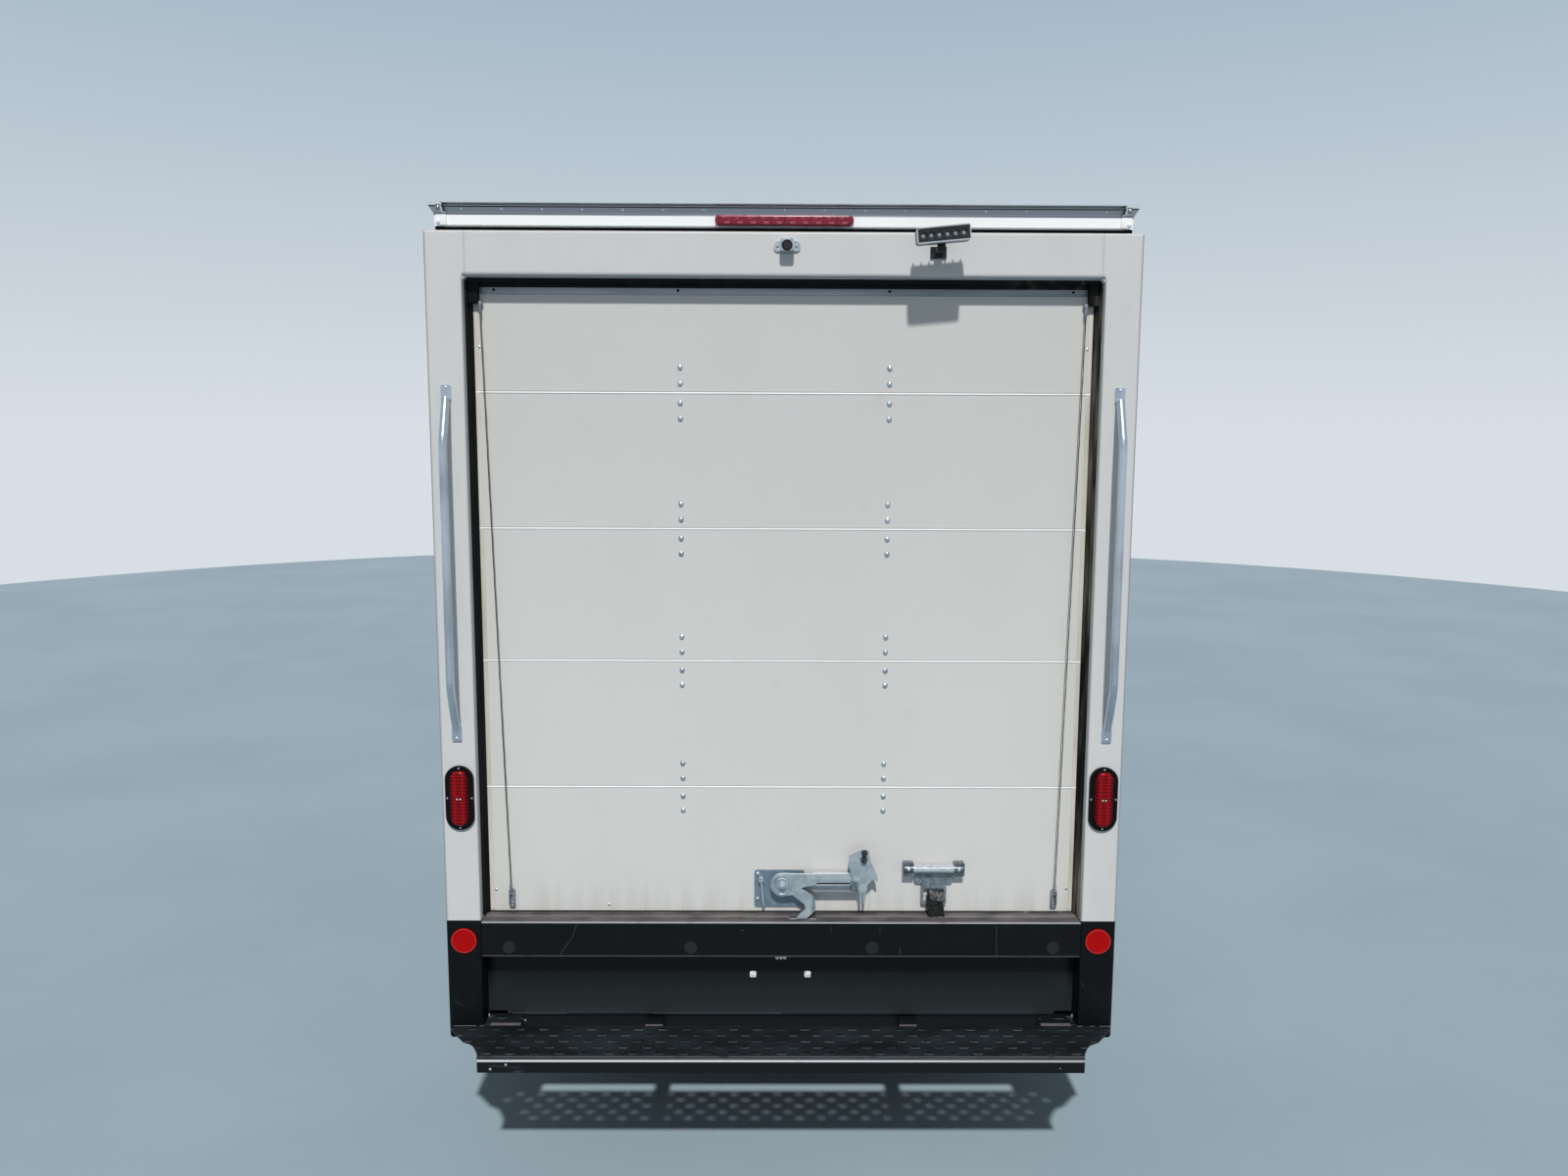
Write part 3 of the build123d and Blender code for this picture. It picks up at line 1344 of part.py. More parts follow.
# Oval tail lamps in their flanges, round reflectors and the red light bar
lamp_x = frame_half - 56.0
tail_lamp_z = deck_z + 404.5
lamp_flange_width = 90.0
lamp_flange_height = 207.0
lamp_flange_depth = 8.0
lens_width = 58.0
lens_height = 178.0
lens_depth = 20.0
lens_edge = 8.0
reflector_x = frame_half - 54.0
reflector_z = deck_z - 66.0
reflector_radius = 40.5
reflector_depth = 7.0
brake_bar_half = 205.0
brake_bar_z = frame_top_z + 31.0
brake_bar_half_height = 15.0
brake_bar_front = 16.0
brake_bar_edge = 6.0
brake_bar_end = 14.0


def oval(width, height, depth):
    """An upright oblong with round ends, standing out of the rear frame's face."""
    shape = extrude(SlotOverall(height, width), depth)
    return Pos(0, frame_y, 0) * Rot(90, 0, 0) * Rot(0, 0, 90) * shape


def rear_lights():
    lens = fillet(oval(lens_width, lens_height, lens_depth).faces().sort_by(Axis.Y)[0].edges(), lens_edge)
    flange = oval(lamp_flange_width, lamp_flange_height, lamp_flange_depth)
    lamp = Pos(lamp_x, 0, tail_lamp_z) * (flange + lens)
    save("tail_lamps", lamp + mirrored(lamp))
    disc = disc_y(reflector_x, reflector_z, frame_y - reflector_depth, frame_y, reflector_radius)
    save("reflectors", disc + mirrored(disc))
    bar = along_y(oblong(-brake_bar_half, brake_bar_half, brake_bar_z - brake_bar_half_height,
                         brake_bar_z + brake_bar_half_height, brake_bar_end),
                  frame_y - brake_bar_front, frame_y + 8)
    save("brake_light_bar", fillet(bar.faces().sort_by(Axis.Y)[0].edges(), brake_bar_edge))


# Backup camera: a hooded lens on a rounded plate in the header's middle
camera_x = 8.0
camera_z = deck_z + 2091.0
camera_plate_half = 39.0
camera_plate_half_height = 15.0
camera_plate_thickness = 5.0
camera_hood_half = 21.0
camera_hood_half_height = 20.0
camera_hood_depth = 30.0
camera_lens_radius = 12.0
camera_lens_recess = 6.0


def backup_camera():
    plate = along_y(oblong(-camera_plate_half, camera_plate_half, -camera_plate_half_height,
                           camera_plate_half_height, 12), -camera_plate_thickness, 0)
    hood = along_y(oblong(-camera_hood_half, camera_hood_half, -camera_hood_half_height,
                          camera_hood_half_height, 9), -camera_hood_depth, 0)
    lens_space = disc_y(0, 0, -camera_hood_depth - 1, camera_lens_recess - camera_hood_depth,
                        camera_lens_radius + 4)
    lens = disc_y(0, 0, 2 - camera_hood_depth, 0, camera_lens_radius)
    save("backup_camera", Pos(camera_x, frame_y, camera_z) * (plate + (hood - lens_space) + lens))


# Work light: six reflector cups in a finned housing, on a bent bracket at the header's right
work_light_x = 457.0
work_light_z = deck_z + 2112.0
work_light_half = 78.0
work_light_half_height = 22.5
work_light_front = 118.0
work_light_back = 74.0
work_light_tilt = 5.5       # degrees, its right end up
cup_count = 6
cup_pitch = 23.5
cup_radius = 10.0
cup_depth = 12.0
fin_count = 7
fin_depth = 10.0
bracket_half = 24.0


def work_light():
    body = along_y(oblong(-work_light_half, work_light_half, -work_light_half_height,
                          work_light_half_height, 8), -work_light_front, -work_light_back)
    for index in range(cup_count):
        x = (index - (cup_count - 1) / 2) * cup_pitch
        cone = Cone(cup_radius * 0.45, cup_radius, cup_depth)
        body -= Pos(x, cup_depth / 2 - work_light_front, 0) * Rot(90, 0, 0) * cone
    for index in range(fin_count):
        x = (index - (fin_count - 1) / 2) * cup_pitch
        body += block(x - 2, x + 2, -work_light_back - 1, fin_depth - work_light_back,
                      4 - work_light_half_height, work_light_half_height - 4)
    light = Rot(0, -work_light_tilt, 0) * body
    light += along_x([
        (4 - work_light_back, -42, 0),
        (4 - work_light_back, -15, 1),
        (fin_depth - work_light_back, -15, 1),
        (fin_depth + 6 - work_light_back, -32, 4),
        (0, -32, 0),
        (0, -42, 0),
    ], -bracket_half / 2, bracket_half / 2)
    light += block(-bracket_half, bracket_half, -5, 0, -54, -20)
    save("work_light", Pos(work_light_x, frame_y, work_light_z) * light)


# Latch on the bottom panel: base plate, boss, lever, channel arm with its end piece, and the hook that
# drops into the sill. Places are measured from the deck and from the truck's centre plane.
latch_boss_x = 2.0
latch_boss_z = 110.0
latch_boss_radius = 37.0
latch_bolt_radius = 12.0
base_left_x = -88.0
base_right_x = 74.0
base_bottom_z = 26.0
base_top_z = 148.0
base_thickness = 5.0
lever_face = 36.0           # in front of the door
lever_back = 26.0
channel_start_x = 100.0
channel_end_x = 255.0
channel_bottom_z = 86.0
slot_bottom_z = 110.0
slot_top_z = 118.0
hook_face = 34.0
hook_back = 24.0
pin_radius = 5.0


def latch_plate(rows, face, back):
    """A flat plate from rows (x, height over the deck, radius), standing in front of the door."""
    placed = [(x, deck_z + height, radius) for x, height, radius in rows]
    return along_y(placed, door_face_y - face, door_face_y - back)


def latch_boss(radius, face, back):
    return disc_y(latch_boss_x, deck_z + latch_boss_z, door_face_y - face, door_face_y - back, radius)


def door_latch():
    boss_top = latch_boss_z + latch_boss_radius
    boss_bottom = latch_boss_z - latch_boss_radius
    base = latch_plate(oblong(base_left_x, base_right_x, base_bottom_z, base_top_z, 9), base_thickness, 0)
    lever = latch_boss(latch_boss_radius, lever_face, lever_back) + latch_plate([
        (latch_boss_x, boss_top, 0),
        (channel_start_x + 8, boss_top - 2, 0),
        (channel_start_x + 8, slot_bottom_z, 0),
        (70, 104, 40),
        (40, 78, 20),
        (latch_boss_x, boss_bottom, 0),
    ], lever_face, lever_back)
    lever += latch_boss(latch_bolt_radius + 14, lever_back, 0)
    lever += latch_boss(latch_bolt_radius + 10, lever_face + 4, 0)
    lever += latch_boss(latch_bolt_radius, lever_face + 10, 0)
    channel = latch_plate(oblong(channel_start_x, channel_end_x, channel_bottom_z, boss_top - 2, 3),
                          lever_face - 2, 12)
    channel -= latch_plate(oblong(channel_start_x + 12, channel_end_x - 38, slot_bottom_z, slot_top_z, 3),
                           lever_face + 1, 0)
    channel -= latch_plate(oblong(channel_start_x - 1, channel_end_x - 12, channel_bottom_z + 3,
                                  slot_bottom_z - 3, 2), lever_face, 18)
    end = latch_plate([
        (216, 212, 6),
        (248, 230, 6),
        (275, 230, 6),
        (285, 186, 8),
        (305, 143, 5),
        (308, 120, 2),
        (294, 134, 5),
        (274, 113, 6),
        (266, 50, 2),
        (250, 50, 2),
        (246, 88, 2),
        (222, 148, 8),
        (213, 178, 14),
    ], lever_face + 6, lever_face - 2)
    end -= latch_plate(oblong(256, 260, 40, 88, 1), lever_face + 7, 0)
    end += latch_plate(oblong(224, 246, 92, 140, 3), lever_face, 0)
    for x, height, radius, proud in ((262, 197, 9, 16), (263, 219, 8, 13)):
        face_y = door_face_y - lever_face
        end += disc_y(x, deck_z + height, face_y - proud, face_y + 10, radius)
    hook = latch_plate([
        (30, 80, 4),
        (62, 98, 6),
        (106, 66, 18),
        (110, 26, 18),
        (80, -4, 2),
        (46, -4, 2),
        (78, 30, 10),
        (72, 46, 10),
    ], hook_face, hook_back)
    hook += latch_boss(latch_boss_radius - 9, hook_face, 0)
    hook += latch_plate([(2, 90, 0), (8, 128, 0), (62, 98, 6), (30, 80, 0)], hook_face, hook_back)
    pin = disc_y(-66, deck_z + 120, door_face_y - 22, door_face_y, 8)
    pin += rod((-66, door_face_y - 16, deck_z + 122), (-58, door_face_y - 16, deck_z + 34), pin_radius)
    save("door_latch", base + lever + channel + end + hook + pin)


# Strap bracket right of the latch: two end blocks, a round bar, a plate and a loop for the pull strap
bracket_left_x = 389.0
bracket_right_x = 586.0
bracket_top_z = 179.0
bracket_bottom_z = 136.0
bracket_block_width = 35.0
bracket_depth = 26.0
bar_radius = 14.0
loop_left_x = 449.0
loop_right_x = 530.0
loop_bottom_z = 40.0
loop_top_z = 108.0
loop_wall = 8.0
loop_face = 16.0
strap_left_x = 464.0
strap_right_x = 515.0
strap_bottom_z = 14.0
strap_thickness = 13.7
strap_edge = 6.0


def strap_bracket():
    middle_z = (bracket_top_z + bracket_bottom_z) / 2
    pieces = disc_x(bracket_left_x + 5, bracket_right_x - 5, door_face_y - bar_radius - 2, deck_z + middle_z,
                    bar_radius)
    for left in (bracket_left_x, bracket_right_x - bracket_block_width):
        pieces += latch_plate(oblong(left, left + bracket_block_width, bracket_bottom_z, bracket_top_z, 4),
                              bracket_depth, 0)
    pieces += latch_plate([
        (bracket_left_x + 33, bracket_bottom_z + 6, 0),
        (bracket_right_x - 33, bracket_bottom_z + 6, 0),
        (bracket_right_x - 36, loop_top_z - 4, 8),
        (bracket_left_x + 39, loop_top_z - 4, 8),
    ], 7, 0)
    loop = latch_plate(oblong(loop_left_x, loop_right_x, loop_bottom_z, loop_top_z, 6), loop_face, 4)
    loop -= latch_plate(oblong(loop_left_x + loop_wall, loop_right_x - loop_wall, loop_bottom_z + loop_wall,
                               loop_top_z - 2 * loop_wall, 4), loop_face + 1, 0)
    save("strap_bracket", pieces + loop)


def pull_strap():
    """The folded webbing that hangs from the loop's lower bar to the sill."""
    back = door_face_y - loop_face - rest_gap
    strap = block(strap_left_x, strap_right_x, back - strap_thickness, back, deck_z + strap_bottom_z,
                  deck_z + loop_top_z - 2 * loop_wall)
    save("pull_strap", fillet(strap.edges().filter_by(Axis.X), strap_edge))


# Under the body: fuel tank in its straps on the left, exhaust on the right, mud flaps behind the wheels
tank_inner_x = rail_outer + 38.0
tank_width = 390.0
tank_back = 720.0           # ahead of the rear axle
tank_length = 780.0
tank_bottom_z = rail_bottom_z - 120.0
tank_top_z = rail_top_z - 30.0
tank_corner = 50.0
tank_strap_inset = 140.0
tank_strap_half = 25.0
tank_strap_wall = 6.0
exhaust_x = 590.0
exhaust_z = rail_bottom_z + 40.0
silencer_back = 700.0       # ahead of the rear axle
silencer_length = 620.0
silencer_radius = 95.0
pipe_radius = 30.0
pipe_front_gap = 620.0      # behind the front axle
tail_pipe_length = 90.0
exhaust_hanger_width = 30.0
exhaust_hanger_height = 20.0
flap_inner = 121.0          # inboard of the rear wheel's centre plane
flap_outer = 134.0
flap_gap = 540.0            # behind the rear axle
flap_thickness = 8.0
flap_bottom_z = 190.0


def fuel_tank():
    back = rear_axle_y + tank_back
    outer_x = tank_inner_x + tank_width
    tank = block(-outer_x, -tank_inner_x, back, back + tank_length, tank_bottom_z, tank_top_z)
    tank = fillet(tank.edges().filter_by(Axis.Y), tank_corner)
    for y in (back + tank_strap_inset, back + tank_length - tank_strap_inset):
        low_y = y - tank_strap_half
        high_y = y + tank_strap_half
        tank += block(-outer_x - tank_strap_wall, -rail_outer, low_y, high_y, tank_top_z - 6, tank_top_z + 20)
        band = block(-outer_x - tank_strap_wall, tank_strap_wall - tank_inner_x, low_y, high_y,
                     tank_bottom_z - 4, tank_top_z + 20)
        tank += band - block(1 - outer_x - tank_strap_wall, -tank_inner_x - 1, low_y - 5, high_y + 5,
                             tank_bottom_z + 1, tank_top_z - 5)
    save("fuel_tank", tank)


def exhaust():
    back = rear_axle_y + silencer_back
    front = back + silencer_length
    pipe = rod((exhaust_x, back, exhaust_z), (exhaust_x, front, exhaust_z), silencer_radius)
    pipe_front_y = front_axle_y - pipe_front_gap
    pipe += rod((exhaust_x, front - 20, exhaust_z), (exhaust_x, pipe_front_y, exhaust_z), pipe_radius)
    pipe += rod((exhaust_x, back - tail_pipe_length, exhaust_z), (exhaust_x, back + 20, exhaust_z),
                pipe_radius)
    hanger_z = exhaust_z + silencer_radius - 10
    for y in (back + 90, back + 500):
        pipe += block(rail_outer, exhaust_x + 10, y, y + exhaust_hanger_width, hanger_z,
                      hanger_z + exhaust_hanger_height)
    save("exhaust", pipe)


def mud_flaps():
    middle = rear_track / 2
    back = rear_axle_y - flap_gap
    flap = block(middle - flap_inner, middle + flap_outer, back, back + flap_thickness, flap_bottom_z,
                 deck_z - floor_thickness - sill_height)
    save("mud_flaps", flap + mirrored(flap))


chassis()
engine()
front_suspension()
save("knuckle_right", knuckle(1))
save("knuckle_left", knuckle(-1))
rear_axle()
propshaft()
# name, side, distance from the centre plane, y
for name, side, centre_x, y in (
    ("front_left", -1, front_track / 2, front_axle_y),
    ("front_right", 1, front_track / 2, front_axle_y),
    ("rear_left", -1, rear_track / 2, rear_axle_y),
    ("rear_right", 1, rear_track / 2, rear_axle_y),
):
    rim, tyre = wheel(side, centre_x, y)
    save("rim_" + name, rim)
    save("tyre_" + name, tyre)
cab()
front_bumper()
dashboard(column_plane())
steering_wheel(column_plane())
seats()
side_walls()
front_wall()
roof_panel()
box_floor()
roof_rails()
rear_frame()
roll_door()
rear_sill()
step_bumper()
grab_handles()
rear_lights()
backup_camera()
work_light()
door_latch()
strap_bracket()
pull_strap()
fuel_tank()
exhaust()
mud_flaps()
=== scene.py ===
import math
import bmesh
import bpy
import numpy as np
from mathutils import Matrix, Vector


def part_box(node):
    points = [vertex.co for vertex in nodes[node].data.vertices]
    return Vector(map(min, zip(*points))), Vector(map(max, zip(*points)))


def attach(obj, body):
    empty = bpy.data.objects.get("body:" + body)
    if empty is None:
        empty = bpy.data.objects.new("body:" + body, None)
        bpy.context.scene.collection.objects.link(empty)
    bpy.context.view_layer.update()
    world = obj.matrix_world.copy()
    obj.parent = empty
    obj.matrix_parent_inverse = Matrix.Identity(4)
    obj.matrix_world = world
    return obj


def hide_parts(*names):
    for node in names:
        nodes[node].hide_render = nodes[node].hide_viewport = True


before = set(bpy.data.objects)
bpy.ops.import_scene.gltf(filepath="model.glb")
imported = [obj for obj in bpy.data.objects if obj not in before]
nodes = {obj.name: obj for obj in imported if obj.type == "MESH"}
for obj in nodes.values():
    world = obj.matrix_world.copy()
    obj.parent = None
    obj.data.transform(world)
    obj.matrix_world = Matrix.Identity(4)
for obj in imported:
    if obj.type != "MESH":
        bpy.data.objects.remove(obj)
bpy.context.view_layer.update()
scene = bpy.context.scene

# Camera: a phone's wide lens, held at about the height of the door's middle, 3.6 m behind the truck
# and a little left of its centre plane, tipped down to take in the step.
camera_spot = Vector((-0.0202, -6.5423, 2.3259))
camera_pitch = math.radians(7.429)
camera_yaw = math.radians(0.376)
camera_roll = math.radians(0.241)
camera_data = bpy.data.cameras.new("camera")
camera_data.lens = 27.0
camera_data.sensor_width = 36.0
camera_data.clip_end = 200.0
camera = bpy.data.objects.new("camera", camera_data)
scene.collection.objects.link(camera)
ahead = Vector((
    math.sin(camera_yaw) * math.cos(camera_pitch), math.cos(camera_yaw) * math.cos(camera_pitch),
    -math.sin(camera_pitch)))
level = Vector((math.cos(camera_yaw), -math.sin(camera_yaw), 0.0))
upward = level.cross(ahead)
rightward = level * math.cos(camera_roll) + upward * math.sin(camera_roll)
upward = rightward.cross(ahead)
turned = Matrix((rightward, upward, -ahead)).transposed().to_4x4()
camera.matrix_world = Matrix.Translation(camera_spot) @ turned
scene.camera = camera
scene.view_settings.view_transform = "Standard"


# Studio: a pale blue-grey floor and sky, a broad soft key from high behind the camera, and an even
# fill from the sky.
class Socket:
    """One output socket of a material. Arithmetic on it adds Math nodes to that material."""

    def __init__(self, finish, link):
        self.finish = finish
        self.link = link

    def maths(self, operation, *values):
        return self.finish.node("ShaderNodeMath", {"operation": operation}, dict(enumerate(values)))

    def __add__(self, other):
        return self.maths("ADD", self, other)

    def __sub__(self, other):
        return self.maths("SUBTRACT", self, other)

    def __rsub__(self, other):
        return self.maths("SUBTRACT", other, self)

    def __mul__(self, other):
        return self.maths("MULTIPLY", self, other)

    def __truediv__(self, other):
        return self.maths("DIVIDE", self, other)

    def __mod__(self, other):
        return self.maths("FLOORED_MODULO", self, other)

    def __pow__(self, other):
        """A square is a product, because a Math node's power of a negative number can be wrong."""
        return self.maths("MULTIPLY", self, self) if other == 2 else self.maths("POWER", self, other)

    def __abs__(self):
        return self.maths("ABSOLUTE", self)

    def __neg__(self):
        return self.maths("MULTIPLY", self, -1.0)

    __radd__ = __add__
    __rmul__ = __mul__

    def least(self, other):
        return self.maths("MINIMUM", self, other)

    def most(self, other):
        return self.maths("MAXIMUM", self, other)

    def rise(self, low, high):
        """0 below low, 1 above high and a smooth step between them, or the other way round."""
        return self.finish.node(
            "ShaderNodeMapRange", {"interpolation_type": "SMOOTHSTEP"},
            {"Value": self, "From Min": low, "From Max": high})

    def near(self, middle, reach, soft):
        """1 within reach of middle, fading to 0 over soft."""
        return abs(self - middle).rise(reach + soft, reach)

    def from_row(self, pitch, first=0.0):
        """Signed distance from the nearest place of a row, in pitches: -0.5 to 0.5."""
        return ((self - first) / pitch + 0.5) % 1.0 - 0.5

    def wave(self, pitch=1.0):
        """Distance from the middle of the band it falls in, in pitches: 0 to 0.5."""
        return abs((self / pitch) % 1.0 - 0.5)


class Finish:
    """A material, or the world's shader, built from nodes on the object's own coordinates, in metres."""

    def __init__(self, name, world=None):
        self.material = world or bpy.data.materials.new(name)
        self.material.use_nodes = True
        self.tree = self.material.node_tree
        self.tree.nodes.clear()
        self.place = self.node("ShaderNodeTexCoord", {}, {}, "Object")
        self.split = self.node("ShaderNodeSeparateXYZ", {}, {"Vector": self.place}, None)
        self.x, self.y, self.z = (Socket(self, self.split.outputs[index]) for index in range(3))

    def node(self, kind, settings, values, out=0):
        """Adds a node: its settings first, then its sockets' values or links. Gives one output."""
        made = self.tree.nodes.new(kind)
        for key, value in settings.items():
            if key == "stops":
                for stop, (spot, colour) in zip(made.color_ramp.elements, value):
                    stop.position, stop.color = spot, (*colour, 1)
            else:
                setattr(made, key, value)
        for key, value in values.items():
            if isinstance(value, Socket):
                self.tree.links.new(value.link, made.inputs[key])
            elif isinstance(value, tuple) and len(value) == 3 and made.inputs[key].type == "RGBA":
                made.inputs[key].default_value = (*value, 1)
            else:
                made.inputs[key].default_value = value
        return made if out is None else Socket(self, made.outputs[out])

    def noise(self, scale, detail=3.0, stretch=(1, 1, 1), rough=0.55, shift=0.0):
        """Soft random variation from 0 to 1, its grains longer where stretch is under 1."""
        moved = self.node(
            "ShaderNodeVectorMath", {"operation": "MULTIPLY_ADD"},
            {0: self.place, 1: stretch, 2: (shift, shift * 1.7, shift * 0.6)})
        return self.node(
            "ShaderNodeTexNoise", {}, {"Vector": moved, "Scale": scale, "Detail": detail, "Roughness": rough})

    def cells(self, scale, out="Distance", feature="F1", stretch=(1, 1, 1)):
        moved = self.node("ShaderNodeVectorMath", {"operation": "MULTIPLY"}, {0: self.place, 1: stretch})
        return self.node("ShaderNodeTexVoronoi", {"feature": feature}, {"Vector": moved, "Scale": scale}, out)

    def mix(self, share, first, second):
        """A colour between first and second, each a socket or display values: share 0 gives first."""
        first, second = (
            colour if isinstance(colour, Socket) else shade(*colour) for colour in (first, second))
        return self.node("ShaderNodeMix", {"data_type": "RGBA"}, {0: share, 6: first, 7: second}, 2)

    def coats(self, tone, *layers):
        """Colours laid over tone in turn. Each layer is its share and its colour."""
        for share, colour in layers:
            tone = self.mix(share, tone, colour)
        return tone

    def bump(self, height, strength, distance):
        return self.node("ShaderNodeBump", {}, {"Height": height, "Strength": strength, "Distance": distance})

    def grey_cells(self, scale):
        """A random grey for each cell, as the grains of hot dip zinc have."""
        return self.node("ShaderNodeRGBToBW", {}, {"Color": self.cells(scale, "Color")})

    def done(self, colour, roughness, **others):
        """The finished surface. Names of others have _ for a space, as in Coat_Weight."""
        values = {"Base Color": colour, "Roughness": roughness}
        values.update({key.replace("_", " "): value for key, value in others.items()})
        surface = self.node("ShaderNodeBsdfPrincipled", {}, values)
        self.node("ShaderNodeOutputMaterial", {}, {"Surface": surface}, None)
        return self.material


def shade(red, green, blue):
    """Linear colour from 0 to 255 display values."""
    return tuple(
        (value / 255 / 12.92) if value < 10.3 else ((value / 255 + 0.055) / 1.055) ** 2.4
        for value in (red, green, blue))


def hypot(aside, over):
    """Length of the step made of two steps square to each other."""
    return (aside * aside + over * over) ** 0.5


floor_radius = 14.5
floor_middle_y = 3.1
floor_mesh = bpy.data.meshes.new("floor")
floor_sides = 256
turn = np.arange(floor_sides) * math.tau / floor_sides
rim = np.stack([np.cos(turn) * floor_radius, np.sin(turn) * floor_radius + floor_middle_y, turn * 0], 1)
floor_mesh.from_pydata(rim.tolist(), [], [list(range(floor_sides))])
floor = bpy.data.objects.new("floor", floor_mesh)
scene.collection.objects.link(floor)
ground = Finish("studio_floor")
floor_mesh.materials.append(
    ground.done(
        ground.mix(ground.noise(0.6, 5.0).rise(0.3, 0.7), (146, 165, 176), (153, 171, 182)), 0.85,
        Specular_IOR_Level=0.2))

world = bpy.data.worlds.new("studio")
scene.world = world
studio = Finish("studio", world)
rays = studio.node("ShaderNodeLightPath", {}, {}, None)
seen = [Socket(studio, rays.outputs["Is " + kind + " Ray"]) for kind in ("Camera", "Glossy", "Transmission")]
direction = studio.node("ShaderNodeTexCoord", {}, {}, "Generated")
height = Socket(studio, studio.node("ShaderNodeSeparateXYZ", {}, {0: direction}, None).outputs["Z"])
sky = studio.node(
    "ShaderNodeValToRGB", {"stops": ((0.0, shade(216, 222, 229)), (0.32, shade(167, 186, 200)))}, {0: height})
fill = studio.node("ShaderNodeBackground", {}, {"Color": (0.86, 0.93, 1.0), "Strength": 0.27})
backdrop = studio.node("ShaderNodeBackground", {}, {"Color": sky, "Strength": 1.0})
either = studio.node(
    "ShaderNodeMixShader", {}, {0: seen[0].most(seen[1].most(seen[2])), 1: fill, 2: backdrop})
studio.node("ShaderNodeOutputWorld", {}, {"Surface": either}, None)

key_data = bpy.data.lights.new("key", "SUN")
key_data.energy = 3.2
key_data.angle = math.radians(2.5)
key_data.color = (1.0, 0.975, 0.945)
key = bpy.data.objects.new("key", key_data)
key.rotation_mode = "QUATERNION"
key.rotation_quaternion = Vector((-0.02, 0.62, -0.76)).to_track_quat("-Z", "Y")
scene.collection.objects.link(key)

# Chassis: two pressed channels with riveted crossmembers, the front wishbones, the leaf-sprung rear axle
# and the propshaft. Black chassis paint, dulled by road dust that lies thickest low down and outboard.
def dress(finish, *names):
    """Gives CAD nodes their finish."""
    for name in names:
        for slot in nodes[name].material_slots:
            slot.material = finish


chassis = Finish("chassis_paint")
dust = chassis.noise(7.0, 5.0).rise(0.42, 0.72) * chassis.z.rise(1.1, 0.25)
chips = chassis.cells(38.0).rise(0.13, 0.07) * chassis.noise(5.0, 2.0, shift=3.0).rise(0.5, 0.62)
chassis_colour = chassis.mix(dust * 0.55, (24, 24, 25), (92, 84, 74))
chassis_colour = chassis.mix(chips, chassis_colour, (96, 60, 42))
chassis_black = chassis.done(
    chassis_colour, dust * 0.35 + 0.38, Normal=chassis.bump(chassis.noise(220.0, 2.0), 0.25, 0.0006))
dress(chassis_black, "frame_rails", "crossmembers", "front_suspension", "rear_axle")

cast = Finish("cast_iron")
rust = cast.noise(16.0, 6.0).rise(0.46, 0.66)
cast_colour = cast.mix(rust, (92, 90, 87), (104, 74, 55))
cast_iron = cast.done(
    cast_colour, rust * 0.25 + 0.55, Metallic=-rust * 0.5 + 0.7,
    Normal=cast.bump(cast.noise(90.0, 4.0), 0.5, 0.0015))
dress(cast_iron, "knuckle_left", "knuckle_right", "propshaft")

alloy = Finish("engine_alloy")
grime = alloy.noise(6.0, 5.0).rise(0.4, 0.7)
engine_alloy = alloy.done(
    alloy.mix(grime, (128, 129, 130), (62, 56, 50)), grime * 0.3 + 0.45, Metallic=-grime * 0.6 + 0.8,
    Normal=alloy.bump(alloy.cells(60.0), 0.35, 0.002))
dress(engine_alloy, "engine_block")

exhaust_finish = Finish("aluminised_steel")
burnt = exhaust_finish.noise(9.0, 5.0).rise(0.4, 0.65)
exhaust_steel = exhaust_finish.done(
    exhaust_finish.mix(burnt, (136, 134, 130), (112, 88, 66)), burnt * 0.3 + 0.4, Metallic=-burnt * 0.5 + 0.9,
    Normal=exhaust_finish.bump(exhaust_finish.noise(120.0), 0.2, 0.001))
dress(exhaust_steel, "exhaust")

tank_finish = Finish("tank_plastic")
scuffs = tank_finish.noise(24.0, 4.0, (1, 0.15, 1)).rise(0.55, 0.75)
tank_plastic = tank_finish.done(
    tank_finish.mix(scuffs, (34, 34, 35), (66, 63, 58)), scuffs * 0.2 + 0.5,
    Normal=tank_finish.bump(tank_finish.noise(300.0, 2.0), 0.3, 0.0006))
dress(tank_plastic, "fuel_tank")

flap = Finish("flap_rubber")
mud = flap.z.rise(0.62, 0.2) * flap.noise(12.0, 5.0).rise(0.35, 0.6)
ribs = flap.x.wave(1 / 42).rise(0.1, 0.3)
flap_rubber = flap.done(
    flap.mix(mud, (30, 30, 31), (104, 94, 80)), mud * 0.2 + 0.68, Normal=flap.bump(ribs, 0.6, 0.002))
dress(flap_rubber, "mud_flaps")


# Wheels: pressed steel discs in silver paint, eight chamfered nuts round a dust cap, and a rubber valve.
# The nuts are zinc plated and screw down on the flat of the disc between the hand holes and the hub.
def circle(count, radius=1.0, start=0.0):
    """Points (radius cos a, radius sin a), with a going evenly round from start."""
    angle = start + np.arange(count) * math.tau / count
    return np.stack([np.cos(angle), np.sin(angle)], axis=1) * radius


def skin(rings):
    """Faces between closed rings of equal count, point by point, with a cap on the first and the last."""
    count, width = rings.shape[:2]
    index = np.arange(count * width).reshape(count, width)
    here, there = index[:-1], index[1:]
    quads = np.stack([here, np.roll(here, -1, 1), np.roll(there, -1, 1), there], -1)
    return rings.reshape(-1, 3), [quads.reshape(-1, 4), index[0][None, ::-1], index[-1][None, :]]


def axes_for(direction):
    """Two unit vectors square to a direction, and the direction itself."""
    along = np.asarray(direction, float)
    along = along / np.linalg.norm(along)
    helper = np.array([0.0, 0.0, 1.0]) if abs(along[2]) < 0.9 else np.array([1.0, 0.0, 0.0])
    first = np.cross(helper, along)
    first = first / np.linalg.norm(first)
    return first, np.cross(along, first), along


